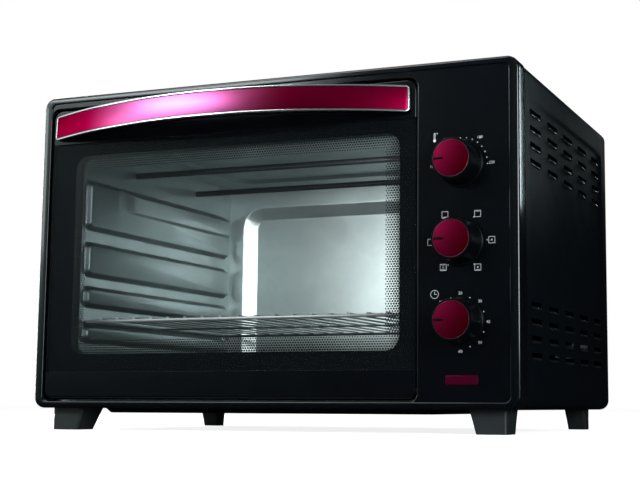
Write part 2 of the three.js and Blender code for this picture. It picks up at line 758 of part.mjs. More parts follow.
/** Loose crumb tray that lies on the cavity floor. */
function crumbTray() {
  const area = [cavityLeft + trayInset, cavityRight - trayInset, cavityFront + trayInset, cavityBack - trayInset];
  const base = area.map((value, index) => value + (index % 2 ? -trayDraft : trayDraft));
  const level = (limits, inset, z) => ring(...limits.map((value, i) => value + (i % 2 ? -inset : inset)),
    trayCorner, (u, v) => onZ(u, v, z));
  const outer = loft([level(base, 0, cavityFloor), level(area, 0, cavityFloor + trayHeight)]);
  const inner = loft([level(base, sheet, cavityFloor + sheet),
    level(area, sheet, cavityFloor + sheet + trayHeight)]);
  return outer.subtract(inner);
}

/** Tubular heater across the cavity, with ceramic ends and terminal pins outside the walls. */
function heater() {
  const half = cavityWidth / 2 + sheet + seatGap;
  const end = half + ceramicLength;
  const ends = [-1, 1].flatMap((side) => [
    bar([side * half, 0, 0], [side * end, 0, 0], ceramicRadius, cornerSteps * 3),
    bar([side * end, 0, 0], [side * (end + terminalLength), 0, 0], terminalRadius, wireSides),
  ]);
  return union([bar([-half - ceramicLength / 2, 0, 0], [half + ceramicLength / 2, 0, 0], heaterRadius,
    cornerSteps * 3), ...ends]);
}

/** Depth and height of each heater, top pair first. */
function heaterPlaces() {
  return [cavityTop - heaterDrop, cavityFloor + heaterDrop].flatMap((z) =>
    heaterDepthShares.map((share) => [cavityFront + share * cavityDepth, z]));
}

// Wire rack: a heavy frame, thin wires front to back and their tips turned up at the front
function wireRack() {
  const [left, right] = [cavityLeft + rackSideGap + rackFrameRadius, cavityRight - rackSideGap - rackFrameRadius];
  const [near, far] = [cavityFront + rackFrontInset, cavityBack - rackRearInset];
  const [, seat] = ledgeSpanShares[0].map((share) => cavityFloor + share * cavityHeight);
  const slope = Math.hypot(ledgeDepth, ledgeDraft);
  const rise = ((rackFrameRadius + seatGap) * slope - (left - cavityLeft) * ledgeDraft) / ledgeDepth;
  const z = seat + rise;
  const wireZ = z + rackFrameRadius + rackWireRadius / 2;
  const corners = [[left, near], [right, near], [right, far], [left, far]];
  const frame = corners.map(([x, y], i) => {
    const [nextX, nextY] = corners[(i + 1) % corners.length];
    return bar([x, y, z], [nextX, nextY, z], rackFrameRadius, wireSides);
  });
  const joints = corners.map(([x, y]) =>
    solid(new THREE.SphereGeometry(rackFrameRadius, wireSides, wireSides).translate(x, y, z)));
  const pitch = (right - left) / (rackWires + 1);
  const wires = Array.from({ length: rackWires }, (_, i) => {
    const x = left + (i + 1) * pitch;
    const front = near - rackFrameRadius;
    return [bar([x, front, wireZ], [x, far + rackFrameRadius, wireZ], rackWireRadius, wireSides),
      bar([x, front + rackWireRadius, wireZ - rackWireRadius / 2],
        [x, front + rackWireRadius, wireZ + rackTipRise], rackWireRadius, wireSides)];
  }).flat();
  const brace = bar([left, (near + far) / 2, z], [right, (near + far) / 2, z], rackFrameRadius, wireSides);
  return union([...frame, ...joints, brace, ...wires]);
}

// Convection fan in the dish of the right wall
function fanImpeller() {
  const disc = bar([fanWidth / 2 - fanDiscThickness, 0, 0], [fanWidth / 2, 0, 0], fanRadius, knobSides);
  const hub = bar([-fanWidth / 4, 0, 0], [fanWidth / 2, 0, 0], fanHubRadius);
  const blade = (turn) => {
    const geometry = new THREE.BoxGeometry(fanWidth - fanDiscThickness / 2, fanRadius - fanHubRadius, fanBladeThickness);
    geometry.translate(-fanDiscThickness / 4, (fanRadius + fanHubRadius) / 2, fanBladeThickness);
    return solid(geometry.rotateX(turn));
  };
  const blades = Array.from({ length: fanBlades }, (_, i) => blade((2 * Math.PI * i) / fanBlades));
  const bore = bar([-fanWidth, 0, 0], [fanWidth, 0, 0], fanShaftRadius + seatGap);
  return union([disc, hub, ...blades]).subtract(bore);
}

/** Motor behind the dish, with a flange against it and a bore for the shaft. */
function fanMotor() {
  const start = dishFloorX + sheet + seatGap;
  const can = bar([start, fanY, fanZ], [start + fanMotorLength, fanY, fanZ], fanMotorRadius);
  const flange = bar([start, fanY, fanZ], [start + fanMotorFlange, fanY, fanZ], dishRadius - fanClearance, roundSides);
  const core = block(start + fanMotorFlange, start + fanMotorLength - fanMotorFlange, fanY - fanMotorRadius / 2,
    fanY + fanMotorRadius / 2, fanZ - fanMotorRadius - fanMotorFlange, fanZ);
  const bore = bar([start - overrun, fanY, fanZ], [start + fanMotorLength / 2, fanY, fanZ], fanShaftRadius + seatGap);
  return union([can, flange, core]).subtract(bore);
}

/** Slotted cover over the fan dish. */
function fanGrille() {
  const [front, back] = [fanBossX - fanGrilleThickness, fanBossX];
  const plate = bar([front, fanY, fanZ], [back, fanY, fanZ], dishRadius + fanGrilleBorder, knobSides);
  const reach = dishRadius - fanGrilleBorder;
  const slot = (turn) => {
    const geometry = new THREE.BoxGeometry(2 * overrun, reach - fanHubRadius * 2, grilleSlotWidth);
    geometry.translate(0, (reach + fanHubRadius * 2) / 2, 0).rotateX(turn);
    return solid(geometry.translate(fanBossX, fanY, fanZ));
  };
  return plate.subtract(union(Array.from({ length: grilleSlots }, (_, i) => slot((2 * Math.PI * i) / grilleSlots))));
}

// Door pieces, drawn about the hinge axis at the middle of the door
const doorFace = doorRecess - pivotSetback;
const glassBack = doorFace + glassThickness;
const frameBack = glassBack + doorFrameDepth;
const doorBase = -pivotRise;
const doorCrown = doorHigh - pivotZ;

/** Pressed steel frame behind the glass, with a channel round it and blocks for the hinge pins. */
function doorInnerFrame() {
  const edge = (grow) => roundedShape(grow - doorHalf, doorHalf - grow, doorBase + grow, doorCrown - grow, doorCorner);
  const window = (grow) => roundedShape(doorWindowLeft - doorHalf - grow, doorHalf - doorWindowRight + grow,
    doorBase + doorWindowLow - grow, doorCrown - doorWindowTop + grow, doorWindowCorner + grow);
  const channel = prismY(edge(doorFrameSheet), glassBack + doorFrameSheet, frameBack + overrun)
    .subtract(prismY(window(doorFrameSheet), glassBack, frameBack + 2 * overrun))
    .subtract(block(-doorHalf, hingeBlock - doorHalf, glassBack, frameBack + 2 * overrun, doorBase, doorBase + hingeBlock))
    .subtract(block(doorHalf - hingeBlock, doorHalf, glassBack, frameBack + 2 * overrun, doorBase, doorBase + hingeBlock));
  const bore = bar([-doorHalf - overrun, 0, 0], [pinReach + seatGap - doorHalf, 0, 0], pinRadius + seatGap);
  const ring0 = prismY(edge(0), glassBack, frameBack).subtract(prismY(window(0), glassBack - overrun, frameBack + overrun));
  return ring0.subtract(channel).subtract(bore).subtract(mirrored(bore)).intersect(toeRound());
}

/** Door section in Y and Z with both lower edges rounded so that it clears the body as it turns. */
function toeRound() {
  const [front, rear, low, high] = [doorFace, frameBack, doorBase, doorCrown];
  const shape = new THREE.Shape();
  shape.moveTo(front, high);
  shape.lineTo(front, low + doorToeFront);
  shape.absarc(front + doorToeFront, low + doorToeFront, doorToeFront, Math.PI, 1.5 * Math.PI);
  shape.absarc(rear - doorToeRear, low + doorToeRear, doorToeRear, 1.5 * Math.PI, 2 * Math.PI);
  shape.lineTo(rear, high);
  return prismX(shape, -doorHalf - overrun, doorHalf + overrun);
}

/** Front plate of the door between two heights, cut to the door's rounded outline. */
function doorPlate(low, high) {
  const edge = prismY(roundedShape(-doorHalf, doorHalf, doorBase, doorCrown, doorCorner), doorFace, glassBack);
  return edge.intersect(block(-doorHalf, doorHalf, doorFace, glassBack, low, high)).intersect(toeRound());
}

const glassLow = doorBase + bottomRailHeight;
const glassHigh = doorCrown - topRailHeight;

/** Arc-shaped stay that slides through the front frame and stops the open door. */
function doorStay() {
  const radians = THREE.MathUtils.degToRad;
  const [start, end] = [radians(90 - stayStartAngle), radians(90 - stayEndAngle)];
  const shape = new THREE.Shape();
  shape.absarc(0, 0, stayRadius + stayHeight / 2, start, end, true);
  shape.absarc(0, 0, stayRadius - stayHeight / 2, end, start, false);
  const x = stayInset - doorHalf;
  return prismX(shape, x - stayThickness / 2, x + stayThickness / 2, curveSteps);
}

// Handle: bowed in plan and slightly arched in front view
const handleHalf = doorHalf - handleEndInset;
const bowEnd = -handleEndReach - pivotSetback;
const bowMiddle = -handleReach - pivotSetback;

/** Y of the handle's front face at a place along it, set back by a depth. */
function bow(x, depth) {
  return bowMiddle + (bowEnd - bowMiddle) * (x / handleHalf) ** 2 + depth;
}

/** Plan outline between two depths behind the handle's front face. */
function bowedBand(from, to) {
  const shape = new THREE.Shape();
  const middle = 2 * bowMiddle - bowEnd;
  shape.moveTo(-handleHalf, bowEnd + from);
  shape.quadraticCurveTo(0, middle + from, handleHalf, bowEnd + from);
  shape.lineTo(handleHalf, bowEnd + to);
  shape.quadraticCurveTo(0, middle + to, -handleHalf, bowEnd + to);
  return prismZ(shape, doorCrown - topRailHeight - overrun, doorCrown + overrun, curveSteps);
}

/** Front outline of the handle, inset by a margin, extruded through its depth. */
function handleFront(inset) {
  const high = doorCrown - handleTopInset - inset;
  const low = doorCrown - handleTopInset - handleHeight + inset;
  const half = handleHalf - inset;
  const r = Math.max(handleCorner - inset, seatGap);
  const shape = new THREE.Shape();
  const corner = (x, z, start) => Array.from({ length: cornerSteps }, (_, step) => {
    const angle = Math.PI * (start + (step + 1) / (2 * cornerSteps));
    shape.lineTo(x + r * Math.cos(angle), z + r * Math.sin(angle));
  });
  shape.moveTo(r - half, low);
  shape.quadraticCurveTo(0, low + 2 * handleArch, half - r, low);
  corner(half - r, low + r, -0.5);
  shape.lineTo(half, high - r);
  corner(half - r, high - r, 0);
  shape.quadraticCurveTo(0, high + 2 * handleArch, r - half, high);
  corner(r - half, high - r, 0.5);
  shape.lineTo(-half, low + r);
  corner(r - half, low + r, 1);
  return prismY(shape, bowMiddle - overrun, doorFace, curveSteps);
}

/** Black handle body: a bowed bar with a post at each end that stands on the top rail. */
function handleBar() {
  const depth = trimDepth + seatGap;
  const inner = handleHalf - handlePostWidth;
  const [innerEnd, innerMiddle] = [bow(inner, depth + handleThickness), bow(0, depth + handleThickness)];
  const shape = new THREE.Shape();
  shape.moveTo(-handleHalf, doorFace);
  shape.lineTo(-handleHalf, bowEnd + depth);
  shape.quadraticCurveTo(0, 2 * bowMiddle - bowEnd + depth, handleHalf, bowEnd + depth);
  shape.lineTo(handleHalf, doorFace);
  shape.lineTo(inner, doorFace);
  shape.lineTo(inner, innerEnd);
  shape.quadraticCurveTo(0, 2 * innerMiddle - innerEnd, -inner, innerEnd);
  shape.lineTo(-inner, doorFace);
  const plan = prismZ(shape, doorCrown - topRailHeight - overrun, doorCrown + overrun, curveSteps);
  return plan.intersect(handleFront(0));
}

/** Bright outline frame on the handle's front. */
function handleTrim() {
  return bowedBand(0, trimDepth).intersect(handleFront(0)).subtract(handleFront(trimWidth));
}

/** Coloured metal strip inside the trim. */
function handleInlay() {
  return bowedBand(inlaySetback, trimDepth).intersect(handleFront(trimWidth + seatGap));
}

// Hinge hardware on the left side; the right side is its reflection
function hingeBracket() {
  const outer = openLeft - bezelWall;
  const plate = block(outer - hingeBracketThickness, outer, lipY - hingeBracketFront, lipY,
    pivotZ - hingeBracketDrop, pivotZ + hingeBracketRise);
  const hole = bar([outer - hingeBracketThickness - overrun, pivotY, pivotZ], [outer + overrun, pivotY, pivotZ],
    pinRadius + seatGap);
  return plate.subtract(hole);
}

/** Hinge pin with its head outside the bracket and its tip in the door. */
function hingePin() {
  const head = openLeft - bezelWall - hingeBracketThickness - seatGap;
  const tip = doorX - doorHalf + pinReach;
  return union([bar([head - pinHeadThickness, pivotY, pivotZ], [head, pivotY, pivotZ], pinHeadRadius),
    bar([head - pinHeadThickness / 2, pivotY, pivotZ], [tip, pivotY, pivotZ], pinRadius)]);
}

// Controls, drawn about the dial axis with Y at the panel's face
const bracketY = faceThickness + postHeight;
const controlY = bracketY + bracketThickness + seatGap;
const knobBack = -knobStandoff;
const knobFront = knobBack - knobHeight;

/** Sheet bracket behind the panel that carries the three control bodies. */
function controlBracket() {
  const [left, right] = [openRight + postInset - bracketMargin, halfWidth - bezelWall - seatGap];
  const [low, high] = [lensZ + bracketEndMargin / 2, topDialZ + dialPitch / 2 + bracketMargin];
  const y = faceY + bracketY;
  const plate = block(left, right, y, y + bracketThickness, low, high);
  const flange = (x) => block(x, x + bracketThickness, y, y + bracketFlange, low, high);
  const holes = dialHeights().map((z) =>
    bar([dialX, y - overrun, z], [dialX, y + overrun, z], shaftBushRadius + seatGap));
  return union([plate, flange(left), flange(right - bracketThickness)]).subtract(union(holes));
}

/** Round shaft with a flat, cut from a cylinder along Y. */
function dShape(y0, y1, radius) {
  const round = bar([0, y0, 0], [0, y1, 0], radius);
  return round.subtract(block(-radius - overrun, radius + overrun, y0 - overrun, y1 + overrun,
    radius - shaftFlat, radius + overrun));
}

/** Knob body: skirt, tapering grip, recess for the cap and the pointer rib. */
function knobBody() {
  const pocket = knobFront + capThickness;
  const profile = [[0, knobBack], [knobSkirtRadius, knobBack], [knobSkirtRadius, knobBack - knobSkirtHeight + knobEdge],
    [knobSkirtRadius - knobEdge, knobBack - knobSkirtHeight], [knobWaistRadius, knobBack - knobSkirtHeight],
    [knobFrontRadius, knobFront + knobEdge], [capRadius + seatGap, knobFront],
    [capRadius + seatGap, pocket], [0, pocket]];
  const bore = dShape(knobBack - shaftInKnob, knobBack + overrun, shaftRadius + seatGap);
  const rib = block(pointerMargin - capRadius, -pointerInner, knobFront, pocket + knobEdge,
    -pointerWidth / 2, pointerWidth / 2);
  return turnedY(profile, knobSides).subtract(bore).add(rib);
}

/** Domed cap with a slot that the pointer rib shows through. */
function knobCap() {
  const seat = knobFront + capThickness - seatGap;
  const profile = [[0, seat], [capRadius, seat], [capRadius, knobFront + capEdge],
    [capRadius - capEdge, knobFront], [capRadius * 0.6, knobFront - capDome * 0.7], [0, knobFront - capDome]];
  const slot = block(pointerMargin - capRadius - seatGap, seatGap - pointerInner, knobFront - capDome - overrun,
    seat + overrun, -pointerWidth / 2 - seatGap, pointerWidth / 2 + seatGap);
  return turnedY(profile, knobSides).subtract(slot);
}

/** Control shaft from inside the knob to inside the control body. */
function controlShaft() {
  return dShape(knobBack - shaftInKnob + seatGap, controlY + shaftInBody, shaftRadius);
}

/** Common base of a control body: a box with a bush that passes through the bracket. */
function controlBase(extra) {
  const box = block(-controlBodyWidth / 2, controlBodyWidth / 2, controlY, controlY + controlBodyDepth,
    -controlBodyHeight / 2, controlBodyHeight / 2);
  const bush = bar([0, bracketY, 0], [0, controlY + bracketThickness, 0], shaftBushRadius);
  const bore = bar([0, bracketY - overrun, 0], [0, controlY + shaftInBody + seatGap, 0], shaftRadius + seatGap);
  return union([box, bush, ...extra]).subtract(bore);
}

/** Thermostat: the base with a round sensing can at the back. */
function thermostat() {
  const start = controlY + controlBodyDepth - seatGap;
  return controlBase([bar([0, start, 0], [0, start + thermostatCanLength, 0], thermostatCanRadius)]);
}

/** Selector switch: the base with a stack of wafers on a spine at the back. */
function functionSwitch() {
  const start = controlY + controlBodyDepth;
  const pitch = switchWaferThickness + switchWaferGap;
  const wafers = Array.from({ length: switchWafers }, (_, i) => block(-switchWaferWidth / 2, switchWaferWidth / 2,
    start + switchWaferGap + i * pitch, start + (i + 1) * pitch, -switchWaferWidth / 2, switchWaferWidth / 2));
  const spine = bar([0, start - switchWaferGap, 0], [0, start + switchWafers * pitch, 0], shaftBushRadius);
  return controlBase([spine, ...wafers]);
}

/** Mechanical timer: the base with its bell at the back. */
function timerBody() {
  const start = controlY + controlBodyDepth;
  const bell = turnedY([[0, start - seatGap], [shaftBushRadius, start - seatGap], [shaftBushRadius, start + timerBellLength / 3],
    [timerBellRadius, start + timerBellLength / 3], [timerBellRadius * 0.9, start + timerBellLength * 0.8],
    [timerBellRadius * 0.5, start + timerBellLength], [0, start + timerBellLength]]);
  return controlBase([bell]);
}

/** Indicator lens with a flange behind the panel. */
function indicatorLens() {
  const front = prismY(lensOutline(0), faceY - lensProud, panelBackY + seatGap);
  const flange = prismY(lensOutline(lensFlange), panelBackY + seatGap, panelBackY + seatGap + lensFlangeThickness);
  return front.add(flange);
}

/** Neon lamp that lies behind the lens. */
function indicatorLamp() {
  const y = panelBackY + 2 * seatGap + lensFlangeThickness + lampRadius;
  return bar([dialX - lampLength / 2, y, lensZ], [dialX + lampLength / 2, y, lensZ], lampRadius, cornerSteps * 3);
}

/** Terminal block on the inside of the back panel, beside the cord bush. */
function terminalBlock() {
  const y = backY - sheet - seatGap;
  const z = bushZ() + bushRadius + terminalBlockHeight;
  const box = block(bushX() - terminalBlockWidth / 2, bushX() + terminalBlockWidth / 2, y - terminalBlockDepth, y,
    z, z + terminalBlockHeight);
  const pitch = terminalBlockWidth / terminalTowers;
  const towers = Array.from({ length: terminalTowers }, (_, i) => {
    const x = bushX() + (i - (terminalTowers - 1) / 2) * pitch;
    const middle = y - terminalBlockDepth / 2;
    return bar([x, middle, z + terminalBlockHeight / 2], [x, middle, z + terminalBlockHeight + terminalTowerHeight],
      terminalTowerRadius, cornerSteps * 3);
  });
  return union([box, ...towers]);
}

// Assembly
const oven = new THREE.Group();

oven.add(
  piece('front_bezel', frontBezel(), blackGloss),
  piece('control_bracket', controlBracket(), grey),
  piece('casing_wrapper', casingWrapper(), blackSatin),
  piece('rear_panel', rearPanel(), blackSatin),
  piece('base_panel', basePanel(), blackSatin),
  piece('foot_front_left', foot(-1, -1), blackPlastic),
  piece('foot_front_right', foot(1, -1), blackPlastic),
  piece('foot_rear_left', foot(-1, 1), blackPlastic),
  piece('foot_rear_right', foot(1, 1), blackPlastic),
  piece('cord_bush', cordBush(), blackPlastic, [bushX(), backY, bushZ()]),
  piece('terminal_block', terminalBlock(), ceramic),
);
screwPlaces().forEach(([x, z], index) => {
  oven.add(piece(`rear_screw_${index + 1}`, panScrew(), grey, [x, backY, z]));
});

oven.add(
  piece('cavity_front_frame', cavityFrontFrame(), galvanised),
  piece('cavity_left_wall', cavitySideWall(), galvanised),
  piece('cavity_right_wall', cavityRightWall(), galvanised),
  piece('cavity_back_wall', cavityBackWall(), galvanised),
  piece('cavity_ceiling', cavityCeiling(), galvanised),
  piece('cavity_floor', cavityFloorSheet(), galvanised),
  piece('crumb_tray', crumbTray(), galvanised),
  piece('wire_rack', wireRack(), chromeWire),
);
const heaterNames = ['top_front', 'top_rear', 'bottom_front', 'bottom_rear'];
heaterPlaces().forEach(([y, z], index) => {
  const place = [(cavityLeft + cavityRight) / 2, y, z];
  oven.add(piece(`heater_${heaterNames[index]}`, heater(), heaterSteel, place));
});

const impellerX = dishFloorX - fanClearance - fanWidth / 2;
const fanShaftStart = [impellerX - fanWidth / 2, fanY, fanZ];
const fanShaftEnd = [impellerX - fanWidth / 2 + fanShaftLength, fanY, fanZ];
oven.add(
  piece('fan_motor', fanMotor(), grey),
  piece('fan_impeller', fanImpeller(), galvanised, [impellerX, fanY, fanZ]),
  piece('fan_shaft', bar(fanShaftStart, fanShaftEnd, fanShaftRadius), grey),
  piece('fan_grille', fanGrille(), galvanised),
);

const door = new THREE.Group();
door.position.set(doorX, pivotY, pivotZ);
door.add(
  piece('door_inner_frame', doorInnerFrame(), blackSatin),
  piece('door_glass', doorPlate(glassLow, glassHigh), glass),
  piece('door_top_rail', doorPlate(glassHigh, doorCrown), blackGloss),
  piece('door_bottom_rail', doorPlate(doorBase, glassLow), blackGloss),
  piece('door_stay_left', doorStay(), grey),
  piece('door_stay_right', mirrored(doorStay()), grey),
  piece('handle_bar', handleBar(), blackPlastic),
  piece('handle_trim', handleTrim(), silver),
  piece('handle_inlay', handleInlay(), crimson),
);
oven.add(
  door,
  piece('hinge_bracket_left', hingeBracket(), grey),
  piece('hinge_bracket_right', mirrored(hingeBracket(), doorX), grey),
  piece('hinge_pin_left', hingePin(), silver),
  piece('hinge_pin_right', mirrored(hingePin(), doorX), silver),
);

const controls = [
  ['temperature', 'thermostat', thermostat()],
  ['function', 'function_switch', functionSwitch()],
  ['timer', 'timer_clockwork', timerBody()],
];
controls.forEach(([name, bodyName, bodyShape], index) => {
  const dial = new THREE.Group();
  dial.position.set(dialX, faceY, dialHeights()[index]);
  dial.add(
    piece(`${name}_knob`, knobBody(), blackPlastic),
    piece(`${name}_cap`, knobCap(), crimson),
    piece(`${name}_shaft`, controlShaft(), grey),
    piece(bodyName, bodyShape, ceramic),
  );
  oven.add(dial);
});
oven.add(
  piece('indicator_lens', indicatorLens(), lensRed),
  piece('indicator_lamp', indicatorLamp(), lampGlass),
);

export default oven;
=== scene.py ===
"""Looks of a countertop mini oven: drop-down glass door, bowed handle, three dials and a louvred casing.

Sizes are in millimetres in the oven's own frame: X runs right, Y runs back and Z runs up from the worktop.
Meshes are made in metres from those sizes.
"""
import json
import logging
import math
from dataclasses import dataclass, field, replace
from enum import Enum
from typing import Iterable, Sequence

import bmesh
import bpy
from mathutils import Matrix, Vector

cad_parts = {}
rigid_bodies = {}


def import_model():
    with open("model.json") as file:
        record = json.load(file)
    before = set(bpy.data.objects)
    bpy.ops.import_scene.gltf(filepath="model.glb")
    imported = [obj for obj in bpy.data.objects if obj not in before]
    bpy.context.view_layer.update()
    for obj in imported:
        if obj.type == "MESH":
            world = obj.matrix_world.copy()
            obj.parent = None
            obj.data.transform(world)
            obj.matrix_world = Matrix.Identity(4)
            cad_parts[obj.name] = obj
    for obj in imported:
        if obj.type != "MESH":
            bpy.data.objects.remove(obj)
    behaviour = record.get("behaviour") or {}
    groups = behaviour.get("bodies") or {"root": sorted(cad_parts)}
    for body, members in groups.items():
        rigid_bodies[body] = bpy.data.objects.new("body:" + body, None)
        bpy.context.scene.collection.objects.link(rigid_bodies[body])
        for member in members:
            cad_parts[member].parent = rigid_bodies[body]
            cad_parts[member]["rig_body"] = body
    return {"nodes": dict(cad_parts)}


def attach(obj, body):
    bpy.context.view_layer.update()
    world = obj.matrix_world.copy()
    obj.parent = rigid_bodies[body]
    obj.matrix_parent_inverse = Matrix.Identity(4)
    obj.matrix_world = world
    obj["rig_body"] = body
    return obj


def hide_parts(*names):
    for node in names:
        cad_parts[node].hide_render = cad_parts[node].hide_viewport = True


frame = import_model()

log = logging.getLogger("mini_oven")

MM = 0.001
WELD = 1e-6
POLE = 1e-4
SLIVER = 1e-3
FULL_TURN = 2 * math.pi
SMOOTH_ANGLE = math.radians(38)
FLAT_ANGLE = math.radians(0.5)
SHARP_DEGREES = 60.0
NOISE_ROUGHNESS = 0.55

Point = tuple[float, float, float]
Flat = tuple[float, float]
Area = tuple[float, float, float, float]
Colour = tuple[float, float, float]
Runs = tuple[tuple[Flat, Flat], ...]
Marks = tuple[float, float, int]

WHITE: Colour = (1.0, 1.0, 1.0)


class Slot(str, Enum):
    """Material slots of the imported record."""

    GLOSS = "black_gloss"
    CASING = "casing_paint"
    PLASTIC = "black_plastic"
    RUBBER = "bush_rubber"
    GALVANISED = "galvanised"
    WIRE = "chrome_wire"
    HEATER = "heater_steel"
    ZINC = "zinc_steel"
    GLASS = "door_glass"
    SILVER = "silver_trim"
    CRIMSON = "crimson_metal"
    HOUSING = "control_housing"
    LENS = "lens_red"
    LAMP = "lamp_glass"


class Body(str, Enum):
    """Bodies that pieces ride on."""

    BODY = "body"
    DOOR = "door"
    RACK = "rack"
    FAN = "fan"
    TEMPERATURE = "temperature_dial"
    FUNCTION = "function_dial"
    TIMER = "timer_dial"


def metres(*lengths: float) -> tuple[float, ...]:
    """Lengths in metres from millimetres."""
    return tuple(length * MM for length in lengths)


# Shader and geometry trees


class Value:
    """A node socket that Python operators turn into Math nodes."""

    def __init__(self, graph: "Graph", socket: bpy.types.NodeSocket) -> None:
        """Wrap a socket of a graph."""
        self.graph = graph
        self.socket = socket

    def math(self, operation: str, *others: "Value | float") -> "Value":
        """Work out one Math node on this value and the others.

        Args:
            operation: The node's operation.
            others: Further values, in the order of its sockets.

        Returns:
            The result.
        """
        node = self.graph.node("ShaderNodeMath", {"operation": operation})
        for index, item in enumerate((self, *others)):
            self.graph.feed(node.inputs[index], item)
        return Value(self.graph, node.outputs[0])

    def __add__(self, other: "Value | float") -> "Value":
        """Sum."""
        return self.math("ADD", other)

    __radd__ = __add__

    def __mul__(self, other: "Value | float") -> "Value":
        """Product."""
        return self.math("MULTIPLY", other)

    __rmul__ = __mul__

    def __sub__(self, other: "Value | float") -> "Value":
        """Difference."""
        return self.math("SUBTRACT", other)

    def __rsub__(self, other: float) -> "Value":
        """Difference with this value taken away."""
        return self * -1 + other

    def __truediv__(self, other: "Value | float") -> "Value":
        """Quotient."""
        return self.math("DIVIDE", other)

    def __rtruediv__(self, other: float) -> "Value":
        """Quotient with this value below."""
        return self.math("POWER", -1.0) * other

    def __pow__(self, other: float) -> "Value":
        """Power."""
        return self.math("POWER", other)

    def __neg__(self) -> "Value":
        """Negative."""
        return self * -1

    def __lt__(self, other: "Value | float") -> "Value":
        """One where this value is lower, else zero."""
        return self.math("LESS_THAN", other)

    def __gt__(self, other: "Value | float") -> "Value":
        """One where this value is higher, else zero."""
        return self.math("GREATER_THAN", other)

    def clamp(self) -> "Value":
        """This value held between zero and one."""
        return self.math("MINIMUM", 1.0).math("MAXIMUM", 0.0)


class Graph:
    """Node tree that is filled through one node method."""

    def __init__(self, tree: bpy.types.NodeTree) -> None:
        """Take a tree and empty it."""
        self.tree = tree
        tree.nodes.clear()

    def feed(self, socket: bpy.types.NodeSocket, item: object) -> None:
        """Link a value, a socket or a node's first output to an input, or set it.

        Args:
            socket: The input that is fed.
            item: A Value, a socket, a node or a plain value.
        """
        if isinstance(item, Value):
            item = item.socket
        if isinstance(item, bpy.types.Node):
            item = item.outputs[0]
        if isinstance(item, bpy.types.NodeSocket):
            self.tree.links.new(item, socket)
        else:
            socket.default_value = item

    def node(self, kind: str, settings: dict | None = None, inputs: dict | None = None) -> bpy.types.Node:
        """Add a node.

        Args:
            kind: Node type.
            settings: Properties that are set first.
            inputs: Values or links by socket identifier or name.

        Returns:
            The new node.
        """
        node = self.tree.nodes.new(kind)
        for key, value in (settings or {}).items():
            setattr(node, key, value)
        for key, item in (inputs or {}).items():
            named = [socket for socket in node.inputs if socket.identifier == key]
            self.feed(named[0] if named else node.inputs[key], item)
        return node

    def mix(self, factor: object, low: object, high: object) -> bpy.types.NodeSocket:
        """Blend two colours.

        Args:
            factor: Share of the second colour.
            low: First colour, or its socket.
            high: Second colour, or its socket.

        Returns:
            Socket of the blend.
        """
        colours = [(*item, 1.0) if isinstance(item, tuple) else item for item in (low, high)]
        node = self.node("ShaderNodeMix", {"data_type": "RGBA"},
                         {"Factor_Float": factor, "A_Color": colours[0], "B_Color": colours[1]})
        return next(socket for socket in node.outputs if socket.identifier == "Result_Color")

    def place(self, centre: Point = (0.0, 0.0, 0.0), stretch: Point = (1.0, 1.0, 1.0)) -> bpy.types.Node:
        """Object coordinates from a centre, stretched.

        Args:
            centre: The centre in millimetres.
            stretch: Factor on each axis.

        Returns:
            The Mapping node.
        """
        where = self.node("ShaderNodeTexCoord").outputs["Object"]
        shift = tuple(-length * scale for length, scale in zip(metres(*centre), stretch))
        return self.node("ShaderNodeMapping", {}, {"Vector": where, "Location": shift, "Scale": stretch})

    def noise(self, grain: float, detail: float = 2.0, where: object = None) -> Value:
        """Noise whose grain is about the given size in millimetres."""
        node = self.node("ShaderNodeTexNoise", {}, {
            "Vector": where or self.place(), "Scale": 1 / (grain * MM), "Detail": detail,
            "Roughness": NOISE_ROUGHNESS})
        return Value(self, node.outputs["Fac"])

    def axes(self, centre: Point = (0.0, 0.0, 0.0)) -> tuple[Value, Value, Value]:
        """Object coordinates from a centre in millimetres, as three values in metres."""
        split = self.node("ShaderNodeSeparateXYZ", {}, {"Vector": self.place(centre)})
        return tuple(Value(self, split.outputs[axis]) for axis in ("X", "Y", "Z"))

    def bump(self, height: Value, strength: float, depth: float) -> bpy.types.Node:
        """Bump normal from a height, with its depth in millimetres."""
        return self.node("ShaderNodeBump", {}, {
            "Strength": strength, "Distance": depth * MM, "Height": height})


# Finishes


